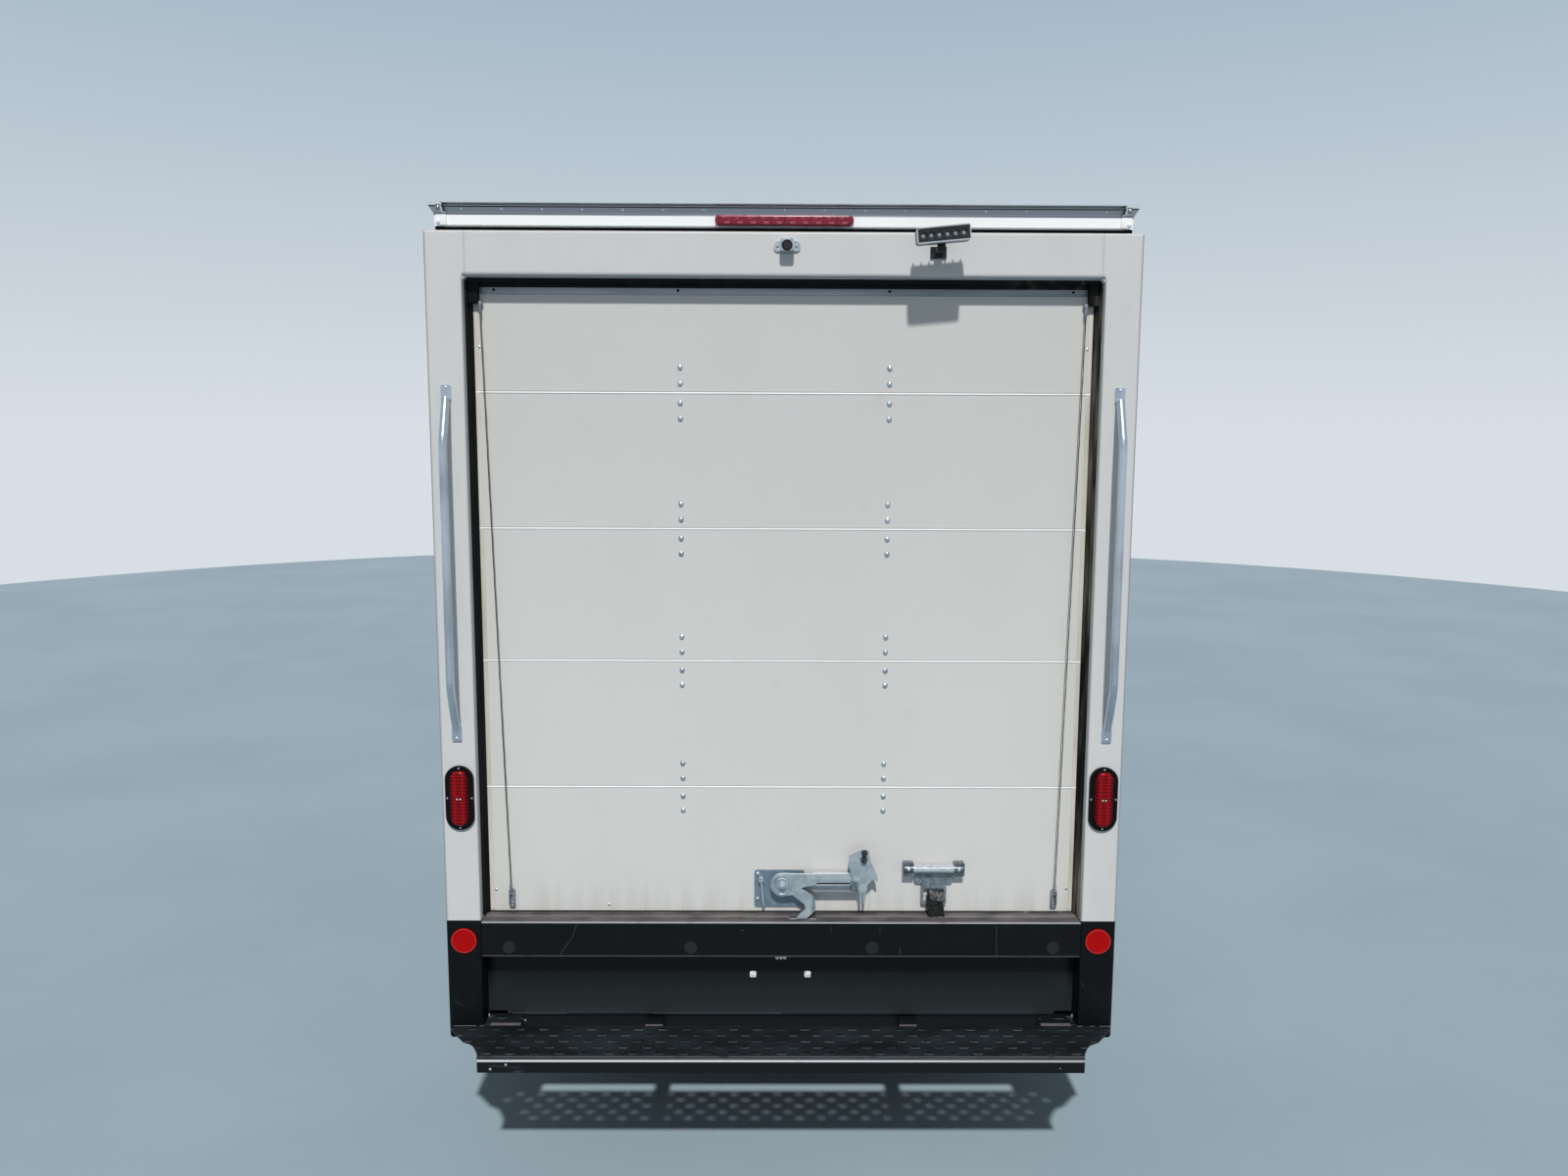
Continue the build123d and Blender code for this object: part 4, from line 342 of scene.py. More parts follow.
def lathe(profile, spot, direction, count=24):
    """Turns rows (radius, height) round a direction: spot + height along it + radius round it."""
    first, second, along = axes_for(direction)
    rows = np.asarray(profile, float)
    around = circle(count)
    spokes = around[:, :1] * first + around[:, 1:] * second
    rings = rows[:, 0, None, None] * spokes + rows[:, 1, None, None] * along + np.asarray(spot, float)
    return skin(rings)


def repeat(part, places):
    """The same part at each place: its points moved by every offset, its faces counted on."""
    points, faces = part
    offsets = np.asarray(places, float).reshape(-1, 1, 3)
    steps = (np.arange(len(offsets)) * len(points)).reshape(-1, 1, 1)
    return (points[None] + offsets).reshape(-1, 3), [
        (face[None] + steps).reshape(-1, face.shape[1]) for face in faces]


def put(name, parts, finish, body, sharp=38.0):
    """One object from parts, its faces turned outwards, smooth but for edges sharper than sharp."""
    start = 0
    points, faces = [], []
    for part_points, part_faces in parts:
        points.append(part_points)
        faces += [face + start for face in part_faces]
        start += len(part_points)
    mesh = bpy.data.meshes.new(name)
    mesh.vertices.add(start)
    mesh.vertices.foreach_set("co", np.concatenate(points).astype(np.float32).ravel())
    corners = np.concatenate([face.ravel() for face in faces])
    totals = np.concatenate([np.full(len(face), face.shape[1]) for face in faces])
    mesh.loops.add(len(corners))
    mesh.loops.foreach_set("vertex_index", corners.astype(np.int32))
    mesh.polygons.add(len(totals))
    mesh.polygons.foreach_set("loop_start", (np.cumsum(totals) - totals).astype(np.int32))
    mesh.update(calc_edges=True)
    mesh.validate()
    outward(mesh, sharp)
    mesh.materials.append(finish)
    made = bpy.data.objects.new(name, mesh)
    scene.collection.objects.link(made)
    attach(made, body)
    return made


def outward(mesh, sharp):
    """Turns a mesh's faces outwards and marks the edges that stay sharp."""
    form = bmesh.new()
    form.from_mesh(mesh)
    bmesh.ops.recalc_face_normals(form, faces=form.faces)
    form.to_mesh(mesh)
    form.free()
    mesh.polygons.foreach_set("use_smooth", np.ones(len(mesh.polygons), bool))
    mesh.set_sharp_from_angle(angle=math.radians(sharp))


def nut(radius, height, spot, direction):
    """A hexagon between chamfered ends, with a domed stud end in it."""
    rings = [(radius * 0.9, 0.0), (radius, height * 0.12), (radius, height * 0.85), (radius * 0.86, height)]
    stud = [(radius * 0.52, height * 0.9), (radius * 0.52, height * 1.25), (radius * 0.4, height * 1.4)]
    return [lathe(rings, spot, direction, 6), lathe(stud, spot, direction, 12)]


rim_finish = Finish("wheel_paint")
brake_dust = rim_finish.noise(11.0, 5.0).rise(0.38, 0.68)
wheel_silver = rim_finish.done(
    rim_finish.mix(brake_dust * 0.7, (176, 178, 180), (104, 92, 80)), brake_dust * 0.3 + 0.35,
    Metallic=-brake_dust * 0.4 + 0.55, Normal=rim_finish.bump(rim_finish.noise(260.0, 2.0), 0.12, 0.0005))
zinc = Finish("zinc_plate")
zinc_tone = zinc.grey_cells(70.0)
tarnish = zinc.noise(30.0, 4.0).rise(0.45, 0.75)
zinc_plate = zinc.done(
    zinc.mix(tarnish * 0.6, (205, 210, 214), (138, 142, 144)), zinc_tone * 0.12 + tarnish * 0.2 + 0.24,
    Metallic=1.0, Normal=zinc.bump(zinc.noise(150.0, 3.0), 0.1, 0.0006))


def rubber_finish(name, axle_y, axle_z):
    """Tyre rubber: fine rings on the sidewalls, cut blocks across the tread, dust where it meets the road."""
    made = Finish(name)
    ahead_of = made.y - axle_y
    above = made.z - axle_z
    radius = hypot(ahead_of, above)
    turn = above.maths("ARCTAN2", above, ahead_of)
    tread = radius.rise(0.374, 0.378)
    blocks_round = 72.0
    slant = turn * (blocks_round / math.tau) + abs(made.x) * 9.0
    blocks = slant.wave().rise(0.42, 0.36)
    rings = radius.wave(1 / 160) * radius.near(0.3, 0.018, 0.006)
    height = blocks * tread + rings * 0.25
    dusty = made.noise(18.0, 4.0).rise(0.35, 0.75) * (tread * 0.5 + 0.35)
    colour = made.mix(dusty, (34, 34, 35), (88, 84, 78))
    return made.done(colour, dusty * 0.12 + 0.74, Normal=made.bump(height, 0.8, 0.004))


def centre(name):
    """The middle of a CAD node's box."""
    return [(low_end + high_end) / 2 for low_end, high_end in zip(*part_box(name))]


steer_axle_y, axle_z = centre("rim_front_right")[1:]
drive_axle_y = centre("rim_rear_right")[1]
front_rubber = rubber_finish("tyre_rubber_front", steer_axle_y, axle_z)
rear_rubber = rubber_finish("tyre_rubber_rear", drive_axle_y, axle_z)
nut_circle = 0.088
disc_face = 0.03      # the disc's flat stands this far outboard of the wheel's middle
for corner, side, axle_y, rubber in (
        ("front_left", -1.0, steer_axle_y, front_rubber), ("front_right", 1.0, steer_axle_y, front_rubber),
        ("rear_left", -1.0, drive_axle_y, rear_rubber), ("rear_right", 1.0, drive_axle_y, rear_rubber)):
    dress(rubber, "tyre_" + corner)
    dress(wheel_silver, "rim_" + corner)
    middle_x = centre("rim_" + corner)[0]
    out = (side, 0.0, 0.0)
    face_x = middle_x + side * disc_face
    parts = []
    for spoke in circle(8, nut_circle, math.pi / 8):
        parts += nut(0.0135, 0.021, (face_x, axle_y + spoke[0], axle_z + spoke[1]), out)
    put("wheel_nuts_" + corner, parts, zinc_plate, "wheel_" + corner)
    cap = [
        (0.05, 0.0), (0.05, 0.004), (0.042, 0.01), (0.04, 0.026), (0.034, 0.033), (0.018, 0.036),
        (0.002, 0.0365)]
    put(
        "dust_cap_" + corner, [lathe(cap, (middle_x + side * 0.046, axle_y, axle_z), out, 28)], wheel_silver,
        "wheel_" + corner)
    stem = [(0.006, 0.0), (0.0055, 0.022), (0.0042, 0.024), (0.0042, 0.04), (0.0036, 0.042)]
    put(
        "valve_" + corner, [lathe(stem, (middle_x + side * 0.04, axle_y + 0.152, axle_z + 0.06), out, 10)],
        flap_rubber, "wheel_" + corner)


# Cab: a white painted steel cab, its doors, fenders and bonnet in the same gloss enamel as the body.
# Road film gathers under the belt line, and the paint has the faint orange peel of a sprayed coat.
def white_enamel(name, tint, low, high):
    """Gloss white paint; its road film thickens from high down to low."""
    made = Finish(name)
    film = made.noise(5.0, 5.0, (1, 1, 0.35)).rise(0.3, 0.75) * made.z.rise(high, low)
    specks = made.cells(75.0).rise(0.09, 0.04) * made.noise(9.0, 2.0, shift=5.0).rise(0.58, 0.68)
    colour = made.mix(film * 0.4, tint, (150, 146, 138))
    colour = made.mix(specks * 0.6, colour, (120, 112, 100))
    return made.done(
        colour, film * 0.35 + 0.26, Coat_Weight=0.25, Coat_Roughness=0.08,
        Normal=made.bump(made.noise(180.0, 2.0), 0.06, 0.0006))


cab_white = white_enamel("cab_enamel", (226, 228, 229), 0.4, 1.15)
dress(cab_white, "cab_shell", "front_fenders", "bonnet", "door_left", "door_right")

glass = Finish("window_glass")
wiped = glass.noise(3.0, 4.0).rise(0.45, 0.75)
window_glass = glass.done(
    shade(196, 208, 208), wiped * 0.05 + 0.02, IOR=1.45, Transmission_Weight=0.92, Specular_IOR_Level=0.6)
dress(window_glass, "windscreen", "door_glass_left", "door_glass_right")

moulding = Finish("black_moulding")
grain = moulding.cells(420.0)
faded = moulding.noise(6.0, 4.0).rise(0.4, 0.75)
black_moulding = moulding.done(
    moulding.mix(faded * 0.5, (30, 31, 33), (62, 63, 64)), faded * 0.2 + 0.45,
    Normal=moulding.bump(grain, 0.35, 0.0008))
dress(black_moulding, "grille", "mirror_left", "mirror_right")

bumper_finish = Finish("bumper_enamel")
worn = bumper_finish.noise(10.0, 6.0).rise(0.55, 0.72) * bumper_finish.z.rise(0.75, 0.42)
bumper_black = bumper_finish.done(
    bumper_finish.mix(worn, (27, 28, 30), (86, 82, 77)), worn * 0.35 + 0.3, Coat_Weight=0.2,
    Normal=bumper_finish.bump(bumper_finish.noise(160.0), 0.1, 0.0008))
dress(bumper_black, "front_bumper")

trim_plastic = Finish("cabin_plastic")
trim_grain = trim_plastic.cells(330.0)
trim_fade = trim_plastic.z.rise(1.05, 1.28)
cabin_plastic = trim_plastic.done(
    trim_plastic.mix(trim_fade, (70, 71, 74), (98, 99, 101)), 0.62,
    Normal=trim_plastic.bump(trim_grain, 0.5, 0.001))
dress(cabin_plastic, "dashboard")
dress(black_moulding, "steering_wheel")


# Freight body: white aluminium sheets on posts, riveted to extruded rails, over a deck of oak boards.
# The sheets meet at the posts, where two rows of rivets show; rain leaves grey runs under them.
rear_y = float(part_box("rear_frame")[0].y)
deck = float(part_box("roll_door")[0].z) - 0.01
wall_x = float(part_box("side_walls")[1].x) - 0.008
wall_low, wall_high = float(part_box("side_walls")[0].z), float(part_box("side_walls")[1].z)
body_front_y = float(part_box("front_wall")[1].y)
post_pitch = 0.4064     # 16 inches
rivet_pitch = 0.1016    # 4 inches
first_post = 0.14       # ahead of the rear frame's face
sheet = Finish("body_sheet")
along_post = abs(sheet.y.from_row(post_pitch, rear_y + first_post)) * post_pitch
seam = along_post.rise(0.0022, 0.0008)
runs = sheet.noise(14.0, 4.0, (1, 1, 0.06)).rise(0.5, 0.8) * sheet.z.rise(3.1, 1.2)
splash = sheet.noise(6.0, 5.0).rise(0.35, 0.7) * sheet.z.rise(1.35, 0.72)
sheet_colour = sheet.coats(
    (216, 221, 224), (runs * 0.22, (150, 148, 140)), (splash * 0.4, (140, 132, 118)),
    (seam * 0.6, (90, 92, 94)))
oil_can = sheet.noise(1.6, 1.0) * 0.5
body_sheet = sheet.done(
    sheet_colour, splash * 0.3 + 0.3, Coat_Weight=0.15, Normal=sheet.bump(oil_can - seam * 0.1, 0.35, 0.01))
dress(body_sheet, "side_walls", "front_wall")

extrusion = Finish("bright_extrusion")
draw_lines = extrusion.noise(60.0, 3.0, (0.02, 0.02, 6.0))
bright = extrusion.noise(9.0, 3.0).rise(0.3, 0.8)
profile_z = extrusion.z - deck
at_rear = extrusion.y.rise(rear_y + 0.06, rear_y + 0.055)
profile_tone = extrusion.mix(bright, (206, 211, 216), (232, 236, 239))
# A painted reflection of the sky lies across the profile's bright plate, where its metal weight is lowered.
reflection_band_painted = profile_z.near(2.1635, 0.015, 0.001) * at_rear
profile_tone = extrusion.mix(reflection_band_painted, profile_tone, (252, 254, 254))
# Bands from low to high: a black line at the joint over the frame, a dark painted shade line under the drip
# step, a grey painted shadow under the overhang, a dark painted shade line under the lip, and a painted
# highlight along the top lip.
for band_z, reach, tint in (
        (2.14, 0.0078, (10, 11, 13)), (2.1945, 0.0115, (150, 154, 160)), (2.2075, 0.0018, (24, 27, 32)),
        (2.1815, 0.0012, (70, 76, 84)), (2.216, 0.0062, (232, 234, 234))):
    profile_tone = extrusion.mix(profile_z.near(band_z, reach, 0.0012) * at_rear, profile_tone, tint)
bright_extrusion = extrusion.done(
    profile_tone, draw_lines * 0.18 + 0.2, Metallic=reflection_band_painted * -0.85 + 0.9,
    Normal=extrusion.bump(draw_lines, 0.12, 0.0006))
dress(bright_extrusion, "roof_rails")
roof_skin = Finish("roof_skin")
bow_pitch = 0.61
bows = roof_skin.y.wave(bow_pitch).rise(0.06, 0.02)
roof_dirt = roof_skin.noise(2.6, 5.0).rise(0.35, 0.75)
roof_white = roof_skin.done(
    roof_skin.mix(roof_dirt * 0.45, (214, 217, 218), (156, 154, 146)), roof_dirt * 0.2 + 0.35,
    Normal=roof_skin.bump(bows + roof_skin.noise(2.0, 2.0), 0.4, 0.008))
dress(roof_white, "roof_panel")

boards = Finish("oak_boards")
board_width = 0.121
board = boards.x / board_width
joint = board.wave().rise(0.475, 0.495)
grain_lines = boards.noise(16.0, 6.0, (3.2, 0.12, 3.2), 0.6)
plank = boards.node("ShaderNodeTexWhiteNoise", {"noise_dimensions": "1D"}, {"W": board.maths("FLOOR", board)})
wood = boards.mix(grain_lines, (126, 94, 62), (176, 142, 100))
wood = boards.mix(plank * 0.35, wood, (112, 84, 56))
under = boards.z.rise(deck - 0.03, deck - 0.04)
wood = boards.mix(under * 0.75, wood, (58, 54, 50))
oak_boards = boards.done(
    boards.mix(joint, wood, (40, 30, 22)), grain_lines * 0.2 + 0.5,
    Normal=boards.bump(grain_lines * 0.3 - joint, 0.5, 0.002))
dress(oak_boards, "box_floor")

rivet = [(0.0062, 0.0), (0.006, 0.0012), (0.0048, 0.0026), (0.0026, 0.0034), (0.0004, 0.0036)]
post_rows = np.arange(rear_y + first_post, body_front_y - 0.16, post_pitch)
heights = np.arange(wall_low + 0.12, wall_high - 0.04, rivet_pitch)
arch_reach = 0.53       # no rivets this near the rear axle
for side, name in ((1.0, "right"), (-1.0, "left")):
    rows = np.concatenate([post_rows - 0.016, post_rows + 0.016])
    grid_y, grid_z = (axis.ravel() for axis in np.meshgrid(rows, heights))
    clear = np.hypot(grid_y - drive_axle_y, grid_z - axle_z) > arch_reach
    spots = np.stack([np.full(clear.sum(), side * wall_x), grid_y[clear], grid_z[clear]], 1)
    put(
        "wall_rivets_" + name, [repeat(lathe(rivet, (0, 0, 0), (side, 0, 0), 8), spots)], body_sheet, "truck")


# Rear frame: folded steel posts and header, MIG welded at the top corners, sprayed white above the deck
# and black below. Its folded edges are rounded, and the paint is rubbed where loads and boots pass.
def fold(gap, radius):
    """Height of a rounded edge: a quarter circle that falls away over the last radius before the edge."""
    short = (gap * -1.0 + radius).most(0.0)
    return (short * short * -1.0 + radius * radius).most(0.0) ** 0.5 - radius


def at(x, out, z):
    """A point from its distance right of the truck's centre, behind the rear frame and over the deck."""
    return np.array([x, rear_y - out, deck + z])


def gap_to(finish, x, z):
    """A surface point's distance from (x, z over the deck), seen square from behind."""
    return hypot(finish.x - x, finish.z - (deck + z))


frame_half = float(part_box("rear_frame")[1].x)
frame_top = float(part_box("rear_frame")[1].z)
post_width = 0.11
opening_half = frame_half - post_width
header_z = deck + 2.001
frame_paint = Finish("frame_enamel")
wide = abs(frame_paint.x)
white_part = frame_paint.z.rise(deck - 0.0012, deck + 0.0012)
inside_z = frame_paint.z.rise(header_z + 0.002, header_z)
past_post = (wide - opening_half).most(0.0) + (inside_z * -1.0 + 1.0)
past_header = (frame_paint.z - header_z).most(0.0) + wide.rise(opening_half, opening_half + 0.001)
edges = fold(wide * -1.0 + frame_half, 0.009) + fold(past_post, 0.008)
edges = edges + fold(past_header, 0.015) + fold(frame_paint.z * -1.0 + frame_top, 0.007)
over_opening = frame_paint.z.rise(header_z - 0.01, header_z + 0.01)
weld = wide.near(0.9485, 0.0008, 0.0016) * over_opening
bead = wide.near(0.9415, 0.0012, 0.002) * over_opening
grime = frame_paint.noise(9.0, 5.0, (1, 1, 0.3)).rise(0.42, 0.8)
low_grime = frame_paint.z.rise(deck + 0.5, deck) * grime
white_coat = frame_paint.mix(grime * 0.1 + low_grime * 0.12, (207, 208, 208), (168, 168, 164))
nicks = frame_paint.cells(60.0).rise(0.08, 0.04) * frame_paint.noise(14.0, 3.0, shift=2.0).rise(0.62, 0.7)
white_coat = frame_paint.coats(white_coat, (weld * 0.3, (150, 154, 158)), (nicks * 0.7, (96, 92, 88)))
rub = frame_paint.noise(26.0, 5.0, (1, 1, 0.4)).rise(0.5, 0.8)
black_coat = frame_paint.mix(rub * 0.5, (11, 13, 15), (24, 27, 29))
scrape = frame_paint.node(
    "ShaderNodeTexVoronoi", {"feature": "DISTANCE_TO_EDGE"},
    {"Vector": frame_paint.place, "Scale": 9.0}).rise(0.01, 0.003)
scrape = scrape * frame_paint.noise(8.0, 3.0, shift=7.0).rise(0.58, 0.68)
step_line = frame_paint.z.near(deck - 0.357, 0.0014, 0.0012)
step_line = step_line * frame_paint.noise(40.0, 3.0, shift=1.0).rise(0.38, 0.5)
black_coat = frame_paint.coats(
    black_coat, (scrape * 0.35, (96, 100, 103)), (step_line * 0.75, (176, 178, 180)))
frame_colour = frame_paint.mix(white_part, black_coat, white_coat)
peel = frame_paint.noise(240.0, 2.0) * 0.00004
frame_enamel = frame_paint.done(
    frame_colour, white_part * -0.08 + rub * 0.12 + 0.38, Specular_IOR_Level=0.15,
    Coat_Weight=white_part * 0.2,
    Normal=frame_paint.bump(edges + peel + bead * 0.0006 - weld * 0.0008, 1.0, 1.0))
dress(frame_enamel, "rear_frame")


# Roof profile's end brackets: a bright corner plate at each end of the rear profile, held by two
# dome head screws, and a row of small screws under the drip lip.
def rounded(width, height, radius, steps=4):
    """Points round an upright oblong with quarter circles of radius at its corners."""
    centres = np.array([(1, 1), (-1, 1), (-1, -1), (1, -1)]) * (width / 2 - radius, height / 2 - radius)
    turns = np.linspace(0, math.pi / 2, steps + 1)
    angle = (np.arange(4)[:, None] * math.pi / 2 + turns)
    return (centres[:, None, :] + radius * np.stack([np.cos(angle), np.sin(angle)], -1)).reshape(-1, 2)


def slab(outline, rows, spot, right=(1, 0, 0), up=(0, 0, 1)):
    """Rings of a closed outline: each row (inset, height) draws it in along its normals and lifts it."""
    right, up = np.asarray(right, float), np.asarray(up, float)
    out = np.cross(right, up)
    edge = np.roll(outline, -1, 0) - outline
    edge = edge / np.maximum(np.linalg.norm(edge, axis=1, keepdims=True), 1e-9)
    normal = np.stack([-edge[:, 1], edge[:, 0]], 1)
    both = normal + np.roll(normal, 1, 0)
    both = both / np.maximum((both * both).sum(1, keepdims=True) / 2, 0.35)
    turn = np.sign(
        (outline[:, 0] * np.roll(outline[:, 1], -1) - outline[:, 1] * np.roll(outline[:, 0], -1)).sum())
    table = np.asarray(rows, float)
    flat = outline[None] + table[:, 0, None, None] * both[None] * turn
    return skin(
        flat[..., :1] * right + flat[..., 1:] * up + table[:, 1, None, None] * out + np.asarray(spot, float))


def plate(thickness, edge):
    """Rows for slab: a flat sheet with its outer edge rounded."""
    return [(0, 0), (0, thickness - edge), (edge * 0.3, thickness - edge * 0.3), (edge, thickness)]


def heads(name, profile, spots, finish, count=12):
    """One small turned head at each spot of the rear end, all facing backwards."""
    return put(name, [repeat(lathe(profile, (0, 0, 0), away, count), np.array(spots))], finish, "truck")


dome = [(0.007, 0.0), (0.0068, 0.0012), (0.0056, 0.003), (0.0034, 0.0043), (0.0004, 0.0048)]
away = (0, -1, 0)
both_sides = ((-1, "left"), (1, "right"))
for side, name in both_sides:
    outline = np.array(
        [(0.998, 2.15), (1.03, 2.15), (1.03, 2.208), (1.014, 2.208), (1.008, 2.188), (0.998, 2.186)])
    outline = outline * (side, 1)
    parts = [slab(outline if side > 0 else outline[::-1], plate(0.005, 0.001), at(0, -0.007, 0))]
    parts += [lathe(dome, at(side * x, -0.002, z), away, 12) for x, z in ((1.022, 2.199), (1.022, 2.159))]
    put("roof_bracket_" + name, parts, bright_extrusion, "truck")
small_dome = [(0.0045, 0.0), (0.0042, 0.0012), (0.0026, 0.0024), (0.0003, 0.0028)]
heads(
    "roof_screws", small_dome, [at(x, -0.0262, 2.2) for x in np.linspace(-0.96, 0.96, 17)], zinc_plate,
    count=10)


# Roll-up door: five plywood-cored panels faced with painted steel, hinged on the inside. Carriage bolts
# come through beside each seam in two columns. The face is an off-white that yellows toward the sides.
door_y = float(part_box("roll_door")[0].y)
seams = (0.424, 0.833, 1.249, 1.665)      # the panels' upper edges over the deck
door_paint = Finish("door_enamel")
side_band = abs(door_paint.x).rise(0.86, 0.9)
veil = door_paint.noise(3.2, 4.0, (1, 1, 0.5))
streak = door_paint.noise(20.0, 3.0, (1.2, 1, 0.04))
foot = door_paint.z.rise(deck + 0.16, deck) * streak.rise(0.35, 0.75)
stain = door_paint.noise(9.0, 5.0, shift=4.0).rise(0.62, 0.8)
rolled, shadow_line = 0.0, 0.0
for seam_z in seams:
    rolled = fold(abs(door_paint.z - (deck + seam_z)) - 0.001, 0.003) + rolled
    shadow_line = door_paint.z.near(deck + seam_z + 0.0036, 0.001, 0.0008) + shadow_line
# Toward its top the face is painted darker, as painted shade.
tone = door_paint.coats(
    (212, 212, 210), (veil.rise(0.3, 0.75) * 0.5, (207, 206, 203)),
    (door_paint.z.rise(deck + 0.3, deck + 1.95) * 0.5, (194, 194, 193)), (side_band * 0.4, (210, 208, 197)),
    (foot * 0.35, (170, 164, 150)), (stain * 0.16, (172, 170, 160)), (shadow_line * 0.2, (104, 108, 112)))
door_enamel = door_paint.done(
    tone, streak * 0.06 + 0.4, Coat_Weight=0.05,
    Normal=door_paint.bump(rolled + door_paint.noise(200.0, 2.0) * 0.00003 + veil * 0.0012, 1.0, 1.0))
dress(door_enamel, "roll_door")

galvanised = Finish("galvanised_steel")
flake_tone = galvanised.grey_cells(46.0)
dulled = galvanised.noise(42.0, 4.0).rise(0.4, 0.75)
galvanised_steel = galvanised.done(
    galvanised.mix(dulled, galvanised.mix(flake_tone, (186, 196, 204), (214, 221, 226)), (150, 160, 168)),
    flake_tone * 0.14 + dulled * 0.12 + 0.26, Metallic=0.85, Normal=galvanised.bump(flake_tone, 0.06, 0.0006))

bolt_head = [
    (0.0088, 0.0), (0.0087, 0.0012), (0.0074, 0.0034), (0.005, 0.005), (0.0022, 0.0058), (0.0003, 0.006)]
door_inset = rear_y - door_y        # the door's face lies ahead of the frame's, so this is negative
bolt_heights = [seam_z + rise for seam_z in seams for rise in (0.076, 0.028, -0.031, -0.078)]
heads("door_bolts", bolt_head, [at(x, door_inset, z) for z in bolt_heights for x in (-0.316, 0.324)],
      galvanised_steel, count=20)
screw_spots = ((-0.925, 1.905), (-0.925, 1.8), (0.925, 1.8), (-0.92, 0.08), (-0.557, 0.03), (0.921, 0.086))
heads("door_screws", small_dome, [at(x, door_inset, z) for x, z in screw_spots], zinc_plate)


# Door seals: black rubber fins down both jambs and along the header, a grey steel retainer with four
# screws under it, and a moulded block in each top corner.
def bar(section, start, end, right, up):
    """A section (right, up) carried straight from start to end."""
    section = np.asarray(section, float)
    ring = section[:, :1] * np.asarray(right, float) + section[:, 1:] * np.asarray(up, float)
    return skin(np.stack([ring + np.asarray(start, float), ring + np.asarray(end, float)]))


seal = Finish("seal_rubber")
chalk = seal.noise(22.0, 4.0, (1, 1, 0.12)).rise(0.42, 0.78)
# On the right-hand seals the chalky dust is painted lighter, as painted sunlight.
sunlit_side_painted_light = seal.x.rise(0.6, 0.9)
seal_colour = seal.mix(chalk * 0.3, (9, 10, 12), (48, 49, 51))
seal_rubber = seal.done(
    seal.mix(sunlit_side_painted_light * chalk * 0.5, seal_colour, (150, 142, 124)), chalk * 0.2 + 0.5, Specular_IOR_Level=0.12,
    Normal=seal.bump(chalk, 0.2, 0.0008))
fin = [
    (0.957, -0.024), (0.957, -0.052), (0.943, -0.0575), (0.9395, -0.056), (0.941, -0.052),
    (0.95, -0.046), (0.9505, -0.028)]
for side, name in both_sides:
    section = [(side * x, out) for x, out in fin][::side]
    put(
        "jamb_seal_" + name, [bar(section, at(0, 0, 0.008), at(0, 0, 1.995), (1, 0, 0), (0, -1, 0))],
        seal_rubber, "truck")
    block = rounded(0.036, 0.072, 0.006)
    put(
        "corner_block_" + name, [slab(block, plate(0.022, 0.003), at(side * 0.938, -0.0575, 1.963))],
        seal_rubber, "truck")
header_fin = [
    (-0.026, 2.001), (-0.056, 2.001), (-0.0575, 1.978), (-0.054, 1.976), (-0.05, 1.985), (-0.03, 1.99)]
put(
    "header_seal",
    [bar([(out, z) for out, z in header_fin], at(-0.957, 0, 0), at(0.957, 0, 0), (0, -1, 0), (0, 0, 1))],
    seal_rubber, "truck")
grey_steel = Finish("grey_steel")
dull = grey_steel.noise(18.0, 4.0, (0.1, 1, 1)).rise(0.3, 0.8)
grey_strip = grey_steel.done(
    grey_steel.mix(dull, (150, 156, 164), (112, 118, 126)), dull * 0.2 + 0.35, Metallic=0.5,
    Normal=grey_steel.bump(dull, 0.15, 0.0006))
strip = slab(rounded(1.836, 0.026, 0.002), plate(0.004, 0.0012), at(0, -0.0583, 1.969))
put("seal_retainer", [strip], grey_strip, "truck")
heads(
    "retainer_screws", small_dome, [at(x, -0.0543, 1.969) for x in (-0.876, -0.32, 0.32, 0.876)],
    seal_rubber)


# Seam strips: each door panel's top edge carries a thin rolled lip, painted near pure white as a painted
# highlight. The foot of the door stands on a soft black rubber strip.
seam_paint = Finish("seam_lip_painted_highlight")
seam_highlight_streaks = seam_paint.noise(30.0, 3.0, (0.3, 1, 1)).rise(0.4, 0.8)
seam_lip_painted_highlight = seam_paint.done(seam_paint.mix(seam_highlight_streaks, (254, 255, 255), (244, 246, 246)), 0.35)
lip_section = [
    (0.0, -0.002), (0.0009, -0.0024), (0.002, -0.0014), (0.0022, 0.0004), (0.0016, 0.0018), (0.0, 0.0022)]
parts = [
    bar(
        lip_section, at(-0.952, door_inset, seam_z - 0.001), at(0.952, door_inset, seam_z - 0.001),
        (0, -1, 0), (0, 0, 1))
    for seam_z in seams]
put("seam_lips", parts, seam_lip_painted_highlight, "truck")
foot_section = [(-0.004, 0.0), (0.002, 0.0), (0.004, 0.002), (0.003, 0.01), (0.0, 0.0128), (-0.004, 0.0128)]
put(
    "door_foot_seal",
    [bar(foot_section, at(-0.952, -0.0585, -0.0035), at(0.952, -0.0585, -0.0035), (0, -1, 0), (0, 0, 1))],
    seal_rubber, "truck")
strip_white = Finish("cream_vinyl")
yellowed = strip_white.noise(9.0, 4.0, (1, 1, 0.2)).rise(0.35, 0.8)
cream_vinyl = strip_white.done(
    strip_white.mix(yellowed, (214, 211, 200), (176, 170, 152)), yellowed * 0.1 + 0.5)
edge_section = rounded(0.013, 0.0016, 0.0006, 2)
for side, name in both_sides:
    ends = [at(side * 0.9335, -0.0574, z) for z in (0.014, 1.92)]
    put("door_edge_strip_" + name, [bar(edge_section, *ends, (1, 0, 0), (0, 1, 0))], cream_vinyl, "truck")


